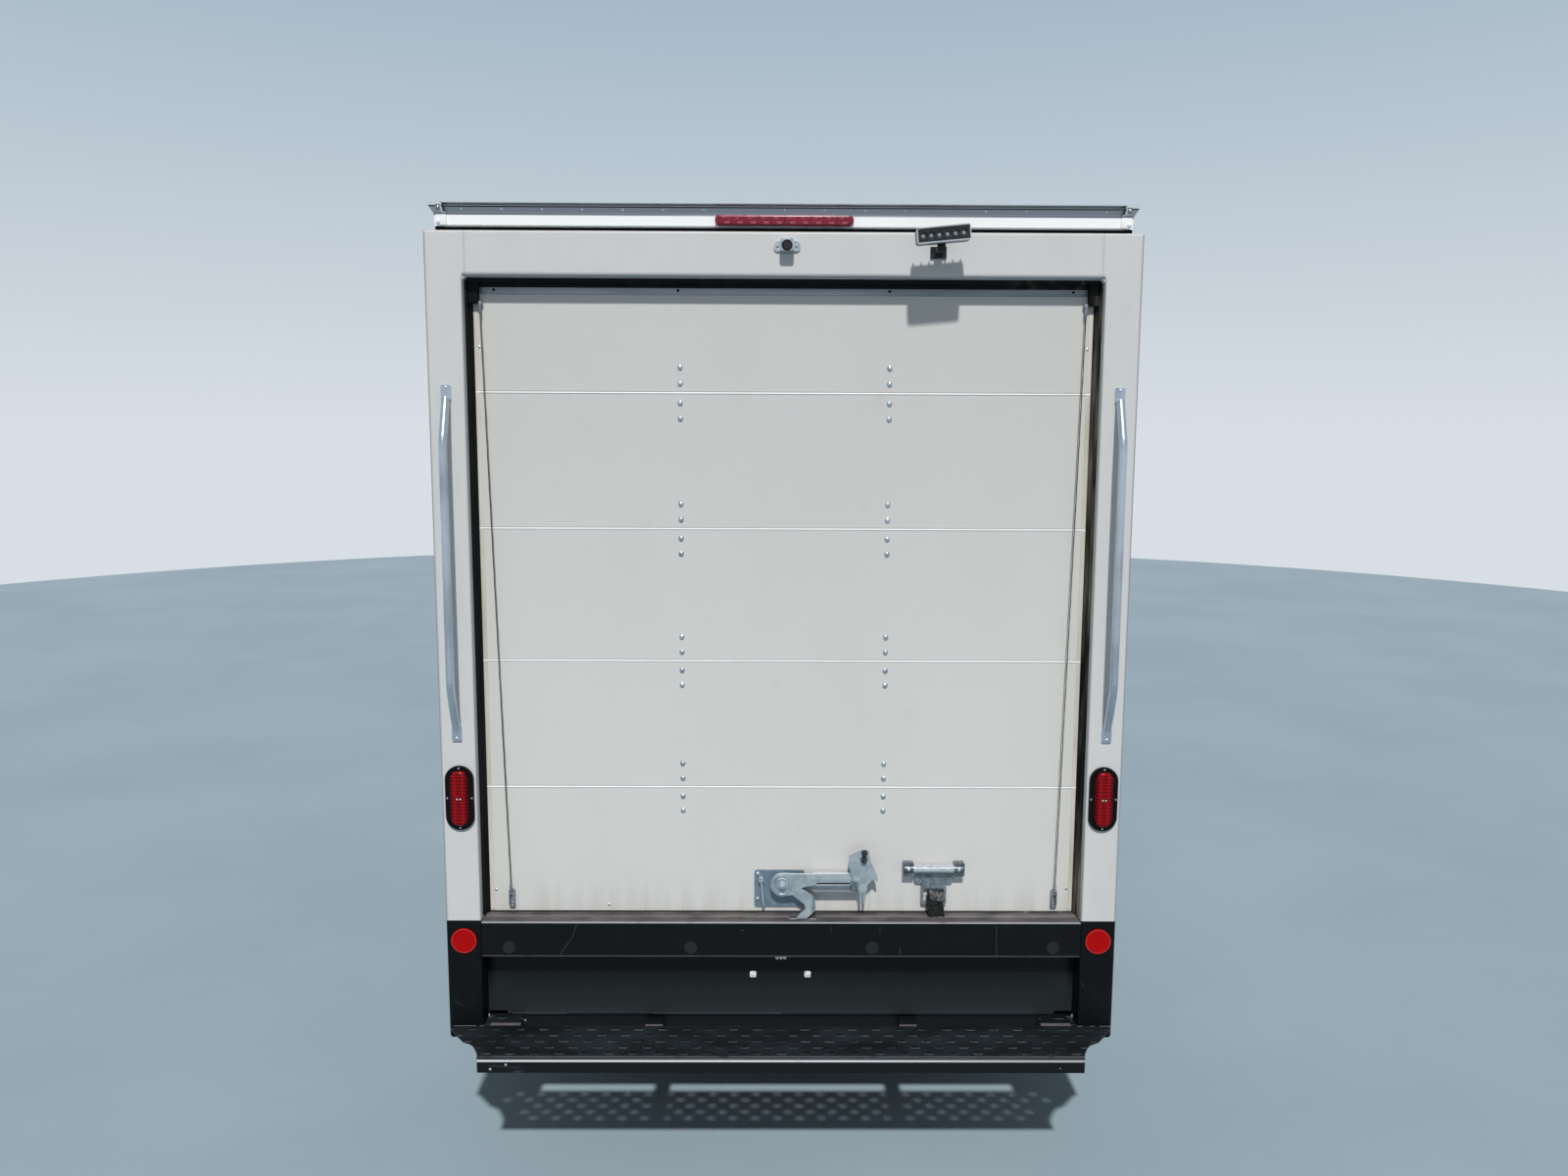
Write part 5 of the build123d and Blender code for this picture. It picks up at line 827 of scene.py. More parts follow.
# Rear sill: a folded steel plate whose sloped top carries the door's foot, with four plugged holes in
# its face and the recess panel behind the step. Gloss black, worn to bare steel along its lower folds,
# where freight is dragged over it, with road dust lying on the slope. A painted highlight runs along its
# top folds, and the recess panel is painted lighter toward its foot as painted light.
def stroke(finish, start, end):
    """Distance from the line between two points (x, z over the deck), in the plane of the rear frame."""
    run = (end[0] - start[0], end[1] - start[1])
    square = run[0] ** 2 + run[1] ** 2
    aside, over = finish.x - start[0], finish.z - (deck + start[1])
    share = ((aside * run[0] + over * run[1]) / square).most(0.0).least(1.0)
    return hypot(aside - share * run[0], over - share * run[1])


sill_paint = Finish("sill_enamel")
sill_z = sill_paint.z - deck
slope = sill_z.rise(-0.0088, -0.0076)
mottle = sill_paint.noise(30.0, 5.0, (0.35, 1, 1))
dusty_slope = sill_paint.mix(mottle.rise(0.3, 0.7), (66, 64, 66), (104, 100, 99))
streaky = sill_paint.noise(60.0, 3.0, (0.04, 1, 1), shift=2.0).rise(0.35, 0.65)
rust_spot = ((sill_paint.x + 0.1465) ** 2 + (sill_z - 0.0022) * (sill_z - 0.0022) * 3.0) ** 0.5
rust_share = rust_spot.rise(0.012, 0.005) * sill_paint.noise(120.0, 3.0).rise(0.35, 0.6)
dusty_slope = sill_paint.coats(dusty_slope, (streaky * 0.45, (52, 46, 44)), (rust_share, (104, 78, 66)))
broken = sill_paint.noise(12.0, 4.0, (1, 1, 1), shift=4.0).rise(0.25, 0.45)
# A painted highlight along the top folds, broken up by noise.
fold_highlight_line = sill_z.near(-0.0078, 0.0011, 0.0008) + sill_z.near(0.0006, 0.0007, 0.0006) * 0.3
gloss = sill_paint.mix(sill_paint.noise(20.0, 5.0).rise(0.45, 0.8) * 0.5, (7, 9, 11), (17, 20, 22))
face_foot = sill_z.near(-0.1187, 0.0009, 0.0009) * broken
worn_run = sill_paint.x.near(-0.7925, 0.086, 0.004) + sill_paint.x.near(-0.21, 0.208, 0.004)
panel_foot = sill_z.near(-0.3468, 0.0012, 0.001) * worn_run
scuff = stroke(sill_paint, (-0.653, -0.011), (-0.668, -0.055))
for start, end in (
        ((-0.668, -0.055), (-0.709, -0.114)), ((0.158, -0.022), (0.159, -0.04)),
        ((0.315, -0.022), (0.315, -0.038)), ((0.379, -0.089), (0.379, -0.118)),
        ((0.688, -0.016), (0.69, -0.118)), ((-0.132, -0.03), (-0.12, -0.034))):
    scuff = scuff.least(stroke(sill_paint, start, end))
scratch = scuff.rise(0.0011, 0.0003) * sill_paint.noise(90.0, 2.0).rise(0.3, 0.5)
plugs = 0.0
for plug_x in (-0.87, -0.29, 0.29, 0.87):
    plugs = gap_to(sill_paint, plug_x, -0.089).rise(0.0212, 0.0206) + plugs
# The recess panel is painted lighter toward its foot, as painted light.
panel_low_painted_light = sill_z.rise(-0.16, -0.3) * sill_z.rise(-0.119, -0.125)
gloss = sill_paint.coats(
    gloss, (scratch * 0.45, (112, 118, 120)), (plugs, (34, 38, 40)),
    ((face_foot * 0.28 + panel_foot * 0.5).least(1.0), (158, 162, 165)), (panel_low_painted_light * 0.75, (44, 50, 53)))
sill_colour = sill_paint.mix(slope, gloss, dusty_slope)
sill_colour = sill_paint.mix((fold_highlight_line * (broken * 0.6 + 0.2)).least(1.0), sill_colour, (150, 152, 162))
below = sill_z.rise(-0.119, -0.121)
sill_enamel = sill_paint.done(
    sill_colour, slope * 0.3 + below * -0.06 + 0.32, Specular_IOR_Level=0.22,
    Normal=sill_paint.bump(mottle * slope * 0.4 - scratch, 0.4, 0.001))
dress(sill_enamel, "rear_sill")

# Licence plate fasteners: two square nylon nuts under small domed caps, with no plate between them, and
# the licence lamp's three diodes over them, painted near white with a brighter middle as painted highlight.
fastener_z = -0.21
parts = []
for x in (-0.092, 0.086):
    parts.append(slab(rounded(0.021, 0.02, 0.005), plate(0.006, 0.0015), at(x, -0.066, fastener_z)))
    parts.append(lathe(small_dome, at(x, -0.06, fastener_z), away, 12))
nylon = Finish("bright_nylon")
bright_nylon = nylon.done(
    nylon.mix(nylon.noise(160.0, 3.0).rise(0.4, 0.7), (238, 240, 241), (180, 186, 190)), 0.4)
put("plate_fasteners", parts, bright_nylon, "truck")
lamp_clear = Finish("diode_lens")
# The lens's brighter middle is a painted highlight.
lens_painted_highlight = lamp_clear.x.near(-0.001, 0.01, 0.004)
diode_lens = lamp_clear.done(lamp_clear.mix(lens_painted_highlight, (232, 235, 238), (252, 253, 254)), 0.15)
diode = [(0.0062, 0.0), (0.006, 0.001), (0.0042, 0.0026), (0.0004, 0.0032)]
heads(
    "licence_diodes", diode, [at(-0.001 + step * 0.0125, -0.0222, -0.1335) for step in (-1, 0, 1)],
    diode_lens, 16)


# Step bumper: a steel tread plate punched with staggered slots whose rims are raised for grip, folded
# down at the back. Black powder coat, worn on the slots' rims, with a painted highlight on one side of each
# rim and two lines of painted highlight along the fold, and three screws in its lip.
step_paint = Finish("step_coat")
depth = step_paint.y * -1.0 + rear_y
step_top = float(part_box("step_bumper")[0].z) + 0.048
top_face = step_paint.z.rise(step_top - 0.0016, step_top - 0.0004)
slot_pitch, row_pitch, first_row = 0.076, 0.037, 0.02
slot_half, slot_radius = 0.0085, 0.0045       # half of its straight part, and its round ends' radius
past_row = (depth - (first_row - row_pitch / 2)) / row_pitch
row = past_row.maths("FLOOR", past_row)
beside = ((step_paint.x / slot_pitch + (row % 2.0) * 0.5 + 0.5) % 1.0 - 0.5) * slot_pitch
through = depth.from_row(row_pitch, first_row) * row_pitch
rim_gap = hypot((abs(beside) - slot_half).most(0.0), through) - slot_radius
rim_ring = rim_gap.rise(0.0042, 0.0022) * top_face
rubbed = step_paint.noise(10.0, 4.0).rise(0.4, 0.62)
# The rims are worn, and only one side of each is lit, as painted highlight.
rim_wear_and_highlight = rim_gap.rise(0.0022, 0.0008) * rim_gap.rise(0.0, 0.0006) * top_face * (rubbed * 0.8 + 0.2)
rim_wear_and_highlight = rim_wear_and_highlight * through.rise(0.001, 0.004)
film = step_paint.noise(8.0, 5.0, (0.5, 1, 1)).rise(0.3, 0.75)
step_colour = step_paint.mix(film * top_face, (17, 20, 23), (38, 44, 49))
specks = step_paint.cells(90.0).rise(0.16, 0.08) * step_paint.noise(
    7.0, 3.0, shift=3.0).rise(0.5, 0.64) * top_face
step_colour = step_paint.coats(
    step_colour, (specks * 0.6, (120, 116, 112)), (rim_wear_and_highlight * 0.85, (178, 184, 190)))
step_reach = 0.198
back_edge = depth - step_reach
on_fold = back_edge.rise(-0.012, -0.009)
# Two lines of painted highlight along the fold, broken up by noise.
fold_highlight_upper = back_edge.near(
    -0.009, 0.0019, 0.0008) * top_face * step_paint.noise(14.0, 3.0, (1, 0.2, 1)).rise(0.3, 0.45)
fold_highlight_lower = step_paint.z.near(step_top - 0.0095, 0.0027, 0.0012) * on_fold * (
    step_paint.noise(9.0, 3.0, (1, 0.2, 0.2), shift=5.0).rise(0.15, 0.4))
thin = step_paint.x.rise(0.05, 0.95)
step_colour = step_paint.coats(
    step_colour, ((fold_highlight_upper * 0.6).least(1.0), (128, 131, 136)),
    ((fold_highlight_lower * (thin * -0.35 + 1.0)).least(1.0), (214, 219, 224)))
dust_pads = abs(step_paint.x).near(0.89, 0.048, 0.002) + abs(step_paint.x).near(0.412, 0.029, 0.002)
dust_pads = dust_pads.least(1.0) * depth.rise(-0.001, -0.004) * depth.rise(-0.022, -0.018) * 0.7
lip_scuff = step_paint.noise(26.0, 4.0, (0.3, 1, 2.0), shift=8.0).rise(0.62, 0.75) * on_fold
step_colour = step_paint.coats(
    step_colour, (dust_pads * step_paint.noise(50.0, 4.0, (1, 2, 1)).rise(0.1, 0.5), (120, 114, 118)),
    (lip_scuff * 0.4, (70, 76, 80)))
for screw_x, screw_z, screw_r in (
        (-0.844, -0.378, 0.0044), (-0.892, -0.392, 0.0044), (0.857, -0.389, 0.0024)):
    gap = gap_to(step_paint, screw_x, screw_z)
    step_colour = step_paint.coats(
        step_colour, (gap.rise(screw_r + 0.0018, screw_r + 0.001), (8, 9, 10)),
        (gap.rise(screw_r, screw_r - 0.0012), (170, 176, 180)))
step_coat = step_paint.done(
    step_colour, film * 0.15 + 0.34, Specular_IOR_Level=0.18,
    Normal=step_paint.bump(rim_ring * 0.0012 + step_paint.noise(220.0, 2.0) * 0.00008, 1.0, 1.0))
dress(step_coat, "step_bumper")


# Grab handles: stainless tube, bowed out at the middle of each post and welded to two end plates, each
# held by two socket screws. Drawn along its length, so its grain runs up and down.
stainless = Finish("brushed_stainless")
drawn = stainless.noise(240.0, 3.0, (1, 1, 0.012))
smears = stainless.noise(12.0, 4.0, (1, 1, 0.4)).rise(0.4, 0.8)
brushed_stainless = stainless.done(
    stainless.mix(smears, (198, 207, 216), (160, 171, 181)), drawn * 0.14 + smears * 0.1 + 0.2,
    Metallic=0.96, Normal=stainless.bump(drawn, 0.1, 0.0004))
dress(brushed_stainless, "grab_handles")
handle_x, handle_feet = 1.014, (0.612, 1.659)
for side, name in both_sides:
    heads(
        "handle_screws_" + name, small_dome,
        [at(side * handle_x, 0.006, z + offset) for z in handle_feet for offset in (-0.016, 0.016)],
        zinc_plate)


# Tail lamps: an oval red lens of moulded acrylic in a black gloss flange, four chrome screws through the
# flange. Rows of small studs behind the lens scatter the light, and two diodes stand in the middle.
tail = Finish("tail_lamp")
lamp_x, lamp_height = 1.011, 0.4045
lens_half, lens_radius = 0.06, 0.029         # half of its straight part, and its round ends' radius
tail_x = (abs(tail.x) - lamp_x) * tail.x.maths("SIGN", tail.x)
tail_z = tail.z - (deck + lamp_height)
lens = (hypot(tail_x, (abs(tail_z) - lens_half).most(0.0)) - lens_radius).rise(0.0006, -0.0004)
studs = hypot(abs(tail_x.from_row(0.0165)), abs(tail_z.from_row(0.0105)))
ridge = abs(abs(tail_x) - 0.01).rise(0.006, 0.001)
ribbing = tail_z.wave(0.0052) * 2.0
lens_colour = tail.mix(studs.rise(0.48, 0.2), (66, 0, 5), (150, 8, 18))
dark_middle = abs(tail_z).rise(0.0075, 0.004) * abs(tail_x).rise(0.013, 0.009)
diodes = hypot(abs(tail_x) - 0.005, tail_z).rise(0.0032, 0.0018)
lens_colour = tail.coats(
    lens_colour, (ridge * 0.45 * (ribbing * 0.6 + 0.4), (206, 34, 40)), (dark_middle * 0.8, (40, 4, 6)),
    (diodes, (252, 226, 222)))
tail_colour = tail.mix(lens, (9, 9, 12), lens_colour)
tail_lamp = tail.done(
    tail_colour, tail.noise(60.0, 2.0) * 0.06 + 0.1, Specular_IOR_Level=0.15,
    Normal=tail.bump(lens * (studs * -0.5 + ribbing * 0.2), 0.35, 0.0016))
dress(tail_lamp, "tail_lamps")
tail_flange = [(0.0, 0.0958), (0.0, -0.0958), (0.0385, 0.0), (-0.0385, 0.0)]
screw_head = [
    (0.0036, 0.0), (0.0036, 0.001), (0.0028, 0.0022), (0.0016, 0.0026), (0.0012, 0.0016), (0.0002, 0.0014)]
for side, name in both_sides:
    spots = [at(side * lamp_x + x, 0.008, lamp_height + z) for x, z in tail_flange]
    heads("tail_screws_" + name, screw_head, spots, zinc_plate, count=14)

# Reflectors: pressed red discs with a fine honeycomb of corner cubes behind a clear face and a narrow
# raised rim.
red = Finish("reflector_red")
red_x, red_z = 1.013, -0.066
from_middle = hypot(abs(red.x) - red_x, red.z - (deck + red_z))
comb = red.cells(210.0, "Distance", "DISTANCE_TO_EDGE")
rim_share = from_middle.near(0.0385, 0.0012, 0.0006)
red_colour = red.mix(comb.rise(0.02, 0.1), (142, 2, 4), (178, 6, 8))
red_colour = red.mix(rim_share * 0.4, red_colour, (196, 84, 84))
reflector_red = red.done(
    red_colour, rim_share * 0.1 + 0.16, Specular_IOR_Level=0.12,
    Normal=red.bump(comb * -1.0 - from_middle.near(0.0362, 0.0006, 0.0005) * 0.5, 0.25, 0.0008))
dress(reflector_red, "reflectors")


# High brake light: a sealed bar of ten diodes under a ribbed red lens, stuck along the roof profile.
bar_red = Finish("brake_bar_lens")
bar_z = bar_red.z - centre("brake_light_bar")[2]
diode_pitch = 0.0385
in_cell = (bar_red.x / diode_pitch) % 1.0
cell_edge = bar_red.x.wave(diode_pitch).rise(0.46, 0.49)
dash = in_cell.near(0.62, 0.16, 0.06) * bar_z.near(-0.0075, 0.0014, 0.0012)
dash_high = in_cell.near(0.4, 0.1, 0.06) * bar_z.near(0.0052, 0.0012, 0.0012)
bar_colour = bar_red.mix(bar_red.noise(48.0, 3.0), (96, 16, 34), (150, 38, 58))
bar_colour = bar_red.coats(
    bar_colour, (cell_edge * 0.7, (60, 10, 24)),
    ((dash * 0.6 + dash_high * 0.35).least(1.0), (214, 120, 136)))
brake_lens = bar_red.done(
    bar_colour, 0.18, Specular_IOR_Level=0.4, Normal=bar_red.bump(cell_edge - dash * 0.5, 0.4, 0.0012))
dress(brake_lens, "brake_light_bar")


# Rear camera: a chromed hood on a chromed plate, two grey screws, and the black lens barrel in its mouth.
chrome = Finish("camera_chrome")
lens_x, lens_z = 0.008, 2.091
mouth, pupil = (gap_to(chrome, lens_x, lens_z).rise(radius + 0.0006, radius) for radius in (0.016, 0.0085))
chrome_tone = chrome.mix(chrome.noise(40.0, 3.0).rise(0.3, 0.8), (222, 226, 229), (176, 182, 187))
# The chrome's lower edge is painted dark, as painted shade.
chrome_low_painted_shade = chrome.z.rise(deck + 2.079, deck + 2.075)
camera_colour = chrome.coats(
    chrome_tone, (chrome_low_painted_shade * 0.75, (60, 64, 68)), (mouth, (10, 10, 12)), (pupil * 0.5, (44, 40, 58)))
camera_chrome = chrome.done(camera_colour, mouth * -0.05 + 0.16, Metallic=mouth * -0.9 + 0.9)
dress(camera_chrome, "backup_camera")
camera_screw = [(0.0042, 0.0), (0.004, 0.0012), (0.003, 0.002), (0.0004, 0.0022)]
heads("camera_screws", camera_screw, [at(lens_x + x, 0.006, lens_z) for x in (-0.0285, 0.0285)], grey_strip)


# Work light: a black die cast housing on a bent steel foot, knocked a little crooked. Six chromed cups,
# each with a diode in it, lie behind its bright rim.
work = Finish("work_light_casting")
tilt = math.radians(5.5)
work_x, work_z = 0.457, 2.112
aside, over = work.x - work_x, work.z - (deck + work_z)
along_face = aside * math.cos(tilt) + over * math.sin(tilt)
across_face = over * math.cos(tilt) - aside * math.sin(tilt)
cup_pitch = 0.0235
cup_gap = hypot(along_face.from_row(cup_pitch, cup_pitch / 2) * cup_pitch, across_face)
in_row = abs(along_face).rise(0.0708, 0.07)
front_face = (work.y * -1.0 + rear_y).rise(0.092, 0.098)
cup_share = cup_gap.rise(0.0102, 0.0096) * in_row * front_face
cup_tone = work.mix(cup_gap.rise(0.0035, 0.0085), (238, 241, 243), (96, 102, 108))
cup_tone = work.coats(
    cup_tone, (cup_gap.near(0.0052, 0.001, 0.0008) * 0.8, (30, 34, 40)),
    (cup_gap.rise(0.0022, 0.0014), (206, 204, 150)))
casting = work.mix(work.noise(90.0, 4.0).rise(0.4, 0.75), (24, 26, 29), (44, 47, 51))
face_rim = (
    abs(across_face).rise(0.0185, 0.02) + abs(along_face).rise(0.0738, 0.0752)).least(1.0) * front_face
casting = work.mix(face_rim * 0.8, casting, (196, 202, 208))
work_light_casting = work.done(
    work.mix(cup_share, casting, cup_tone), cup_share * -0.25 + 0.42, Metallic=cup_share * 0.6,
    Specular_IOR_Level=0.3, Normal=work.bump(work.noise(160.0, 3.0), 0.2, 0.0006))
dress(work_light_casting, "work_light")


def proud(x, out, z):
    """A point from its distance right of the centre, out from the door's face and over the deck."""
    return np.array([x, door_y - out, deck + z])


# Step gussets: thin black plates that close the step's ends up to the frame posts, one lying level with
# the step and one standing under the recess panel's foot.
level_gusset = rounded(0.022, 0.076, 0.003, 2)
foot_gusset = rounded(0.06, 0.019, 0.003, 2)
for side, name in both_sides:
    parts = [
        slab(level_gusset, plate(0.003, 0.0008), at(side * 0.9465, -0.038, -0.3595), (1, 0, 0), (0, 1, 0)),
        slab(foot_gusset, plate(0.003, 0.0008), at(side * 0.926, -0.069, -0.3455))]
    put("step_end_gusset_" + name, parts, step_coat, "truck")


# Door latch: a lever stamped from steel plate turns on a riveted boss over its base plate, and its hook
# drops into a slot in the sill. Galvanised, duller on the base plate, with black plastic stops on the end
# piece. The sides of its plates are painted dark as painted shade and their upward faces light as painted
# highlight. Its pressed ribs carry a painted highlight, and painted shade lies on the channel's lower
# flange, in its slot, in the grooves round the boss and round the stops.
latch = Finish("latch_steel")
latch_x, latch_z = latch.x, latch.z - deck
latch_out = latch.y * -1.0 + door_y
grain_tone = latch.grey_cells(60.0)
weather = latch.noise(34.0, 4.0).rise(0.4, 0.75)
base_share = latch_out.rise(0.0085, 0.0065)
lever_tone = latch.mix(grain_tone, (150, 164, 173), (182, 194, 200))
lever_tone = latch.mix(weather * 0.5, lever_tone, (146, 158, 166))
base_tone = latch.mix(grain_tone, (104, 124, 142), (128, 146, 158))
latch_tone = latch.mix(base_share, lever_tone, base_tone)
on_channel = latch_x.rise(0.094, 0.1) * latch_x.rise(0.254, 0.248)
# A painted highlight along the channel's two pressed ribs.
pressed_ribs_and_highlight = (
    latch_z.near(0.1385, 0.001, 0.0008) + latch_z.near(0.1315, 0.001, 0.0008)).least(1.0) * on_channel
# Painted shade on the channel's lower flange and in its slot.
flange_painted_shade = latch_z.rise(0.098, 0.088) * on_channel
slot_painted_shade = (latch_x - 0.232).near(0.0, 0.012, 0.002) * (latch_z - 0.108).near(0.0, 0.015, 0.002) * on_channel
facing = latch.node(
    "ShaderNodeSeparateXYZ", {}, {"Vector": latch.node("ShaderNodeNewGeometry", {}, {}, "Normal")}, None)
outward_y, upward_z = Socket(latch, facing.outputs[1]), Socket(latch, facing.outputs[2])
# Side faces painted dark as painted shade; the upward ones painted light as painted highlight.
sides_painted_light = outward_y.rise(-0.9, -0.45) * latch_out.rise(0.006, 0.008)
boss_x, boss_z = 0.002, 0.11
boss_gap = gap_to(latch, boss_x, boss_z)
# Painted shade in the grooves round the boss.
boss_groove_shade = (boss_gap.near(0.0268, 0.001, 0.0008) + boss_gap.near(0.02, 0.0008, 0.0008)).least(1.0)
latch_tone = latch.coats(
    latch_tone, (sides_painted_light * 0.75, (70, 88, 106)), (sides_painted_light * upward_z.rise(0.3, 0.8), (206, 214, 219)),
    (pressed_ribs_and_highlight * 0.5, (222, 229, 232)), (flange_painted_shade * 0.45, (74, 90, 104)), (slot_painted_shade * 0.55, (52, 62, 72)),
    (boss_groove_shade * 0.6 * latch_out.rise(0.03, 0.034), (92, 108, 120)))
# where each stop sits, its radius, and how far its foot and its top stand out from the door
stops = ((0.262, 0.197, 0.0092, 0.0521, 0.0533), (0.263, 0.219, 0.0082, 0.0491, 0.0503))
for x, z, radius, low, high in stops:
    cap_gap, cap_r = gap_to(latch, x, z), radius + 0.0008
    cap_share = cap_gap.rise(cap_r + 0.0012, cap_r + 0.0002) * latch_out.rise(0.0364, 0.037)
    # A painted shadow round each stop.
    stop_painted_shadow = cap_gap.rise(cap_r + 0.004, cap_r + 0.0008) * latch_out.rise(0.035, 0.0355)
    latch_tone = latch.coats(latch_tone, (cap_share, (34, 40, 47)), (stop_painted_shadow * 0.4, (66, 80, 92)))
latch_steel = latch.done(
    latch_tone, grain_tone * 0.12 + base_share * 0.15 + 0.28, Metallic=0.35,
    Normal=latch.bump(grain_tone * 0.1 - pressed_ribs_and_highlight * 0.5, 0.2, 0.001))
dress(latch_steel, "door_latch")
washer = [
    (0.0335, 0.0), (0.0333, 0.0012), (0.0322, 0.0018), (0.03, 0.0018), (0.0288, 0.0006), (0.023, 0.0004)]
parts = [lathe(washer, proud(boss_x, 0.0362, boss_z), away, 40)]
parts += nut(0.0104, 0.004, proud(boss_x, 0.0461, boss_z), away)
parts += [lathe(dome, proud(x, 0.0052, z), away, 16) for x, z in ((-0.0765, 0.1365), (-0.077, 0.052))]
put("latch_fasteners", parts, galvanised_steel, "truck")
stop = Finish("latch_stop")
stop_black = stop.done(stop.mix(stop.noise(80.0, 3.0).rise(0.4, 0.7), (22, 26, 31), (58, 66, 74)), 0.5)
button = [(1.0, 0.0), (1.0, 0.55), (0.9, 0.85), (0.7, 1.0), (0.62, 0.98), (0.05, 0.98)]
parts = []
for x, z, radius, low, high in stops:
    parts.append(lathe(np.array(button) * (radius, high - low), proud(x, low, z), away, 18))
    for width, tall in ((0.0022, radius * 1.2), (radius * 1.2, 0.0022)):
        parts.append(slab(rounded(width, tall, 0.0008, 2), plate(0.0012, 0.0003), proud(x, high, z)))
put("latch_stops", parts, stop_black, "truck")


# Strap bracket: a galvanised steel fitting screwed to the door, with a bright bar between two end blocks,
# a pressed plate under it and a loop that the pull strap hangs from.
fitting = Finish("bracket_steel")
bracket_middle = 0.4875
bracket_x, bracket_z = fitting.x - bracket_middle, fitting.z - deck
stain_share = fitting.noise(60.0, 4.0, shift=3.0).rise(0.35, 0.7)
end_block = abs(bracket_x).rise(0.0655, 0.0675)
bar_share = abs(bracket_x).rise(0.0655, 0.064) * bracket_z.near(0.1575, 0.015, 0.001)
fitting_tone = fitting.mix(stain_share, (104, 116, 124), (140, 152, 158))
fitting_tone = fitting.mix(
    end_block * 0.8, fitting_tone, fitting.mix(stain_share, (58, 66, 74), (112, 122, 130)))
# Painted shade along the bar's top and bottom edges.
bar_edge_shade = bar_share * (
    bracket_z.near(0.166, 0.0016, 0.0014) + bracket_z.near(0.145, 0.0022, 0.0016)).least(1.0)
fitting_tone = fitting.coats(
    fitting_tone, (bar_share * 0.85, (196, 203, 208)), (bar_edge_shade * 0.8, (64, 74, 84)))
bracket_steel = fitting.done(
    fitting_tone, stain_share * 0.15 + 0.26, Metallic=0.4, Normal=fitting.bump(stain_share, 0.15, 0.0008))
dress(bracket_steel, "strap_bracket")
parts = [lathe(dome, proud(bracket_middle + x, 0.0262, 0.158), away, 16) for x in (-0.081, 0.081)]
put("bracket_screws", parts, galvanised_steel, "truck")


# Pull strap: black polyester webbing as three creased strips laid over each other below the bracket's
# loop, with a loose worn layer across the top. The real strap's length can't be seen.
webbing = Finish("strap_webbing")
weft_pitch, warp_pitch = 1 / 900, 1 / 700
weave = webbing.z.wave(weft_pitch) + webbing.x.wave(warp_pitch)
fuzz = webbing.noise(160.0, 3.0).rise(0.45, 0.7)
worn_fold = webbing.noise(46.0, 4.0, (1, 1, 1.6)).rise(0.52, 0.68)
strap_black = webbing.done(
    webbing.mix(fuzz * 0.12 + worn_fold * 0.16, (8, 9, 11), (92, 95, 94)), 0.72, Specular_IOR_Level=0.2,
    Sheen_Weight=0.15, Normal=webbing.bump(weave * 0.5 + fuzz * 0.3, 0.5, 0.0008))
frayed = Finish("strap_worn")
frayed_grey = frayed.done(
    frayed.mix(frayed.noise(120.0, 4.0).rise(0.35, 0.7), (38, 41, 42), (116, 119, 116)), 0.8,
    Normal=frayed.bump(frayed.noise(300.0, 3.0), 0.5, 0.0008))


def ribbon(spine, half, thick, crease, phase):
    """A strap as a closed sheet: its middle line runs smoothly through spine (x, out, z, lean), half its
    width lies on each side along x, rising by lean, and creases ripple it outwards by crease."""
    spine = np.asarray(spine, float)
    knots = np.linspace(0, 1, len(spine))
    u = np.linspace(0, 1, 61)
    line = np.stack([np.interp(u, knots, spine[:, i]) for i in range(4)], 1)
    kernel = np.hanning(9) / np.hanning(9).sum()
    padded_line = np.pad(line, ((4, 4), (0, 0)), "edge")
    line = np.stack([np.convolve(padded_line[:, i], kernel, "valid") for i in range(4)], 1)
    u_grid, v_grid = np.meshgrid(u, np.linspace(-1, 1, 25), indexing="ij")
    ripple = crease * (
        np.sin(u_grid * 17 + v_grid * 2.6 + phase) * 0.6 + np.sin(v_grid * 5.2 - u_grid * 9 + phase * 2)
        * 0.5)
    x = line[:, 0, None] + v_grid * half * (1 - 0.1 * np.sin(u_grid * 7 + phase) ** 2)
    out = line[:, 1, None] + ripple
    z = line[:, 2, None] + v_grid * line[:, 3, None]
    front = np.stack([x, out, z], -1)
    slope_u = np.gradient(front, axis=0)
    slope_v = np.gradient(front, axis=1)
    normal = np.cross(slope_v, slope_u)
    normal = normal / np.maximum(np.linalg.norm(normal, axis=-1, keepdims=True), 1e-9)
    both = np.concatenate([front + normal * thick / 2, (front - normal * thick / 2)[:, ::-1]], 1)
    both = np.stack([both[..., 0], door_y - both[..., 1], deck + both[..., 2]], -1)
    return skin(both)


# each strip's middle line, half its width, its crease and its phase
strips = (
    ([(0.4905, 0.019, 0.088, 0.0), (0.4895, 0.0262, 0.066, -0.004), (0.49, 0.024, 0.04, 0.003),
      (0.493, 0.0255, 0.018, -0.002), (0.496, 0.0225, 0.002, 0.002), (0.498, 0.016, -0.006, 0.0)],
     0.0245, 0.0026, 0.4),
    ([(0.486, 0.023, 0.07, 0.004), (0.484, 0.0315, 0.046, -0.003), (0.487, 0.03, 0.022, 0.004),
      (0.488, 0.027, 0.004, -0.003), (0.486, 0.02, -0.006, 0.0)], 0.0165, 0.003, 2.1),
    ([(0.506, 0.02, 0.05, 0.0), (0.508, 0.029, 0.03, 0.003), (0.512, 0.0265, 0.012, -0.002),
      (0.514, 0.02, -0.003, 0.0)], 0.013, 0.0028, 3.6))
strap_thick, worn_thick = 0.0022, 0.0018
strap_parts = [ribbon(spine, half, strap_thick, crease, phase) for spine, half, crease, phase in strips]
strap = put("pull_strap_webbing", strap_parts, strap_black, "truck", 60.0)
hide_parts("pull_strap")
worn_spine = [(0.496, 0.0215, 0.085, -0.004), (0.496, 0.033, 0.074, -0.009), (0.499, 0.0345, 0.062, -0.007),
              (0.501, 0.027, 0.053, -0.004)]
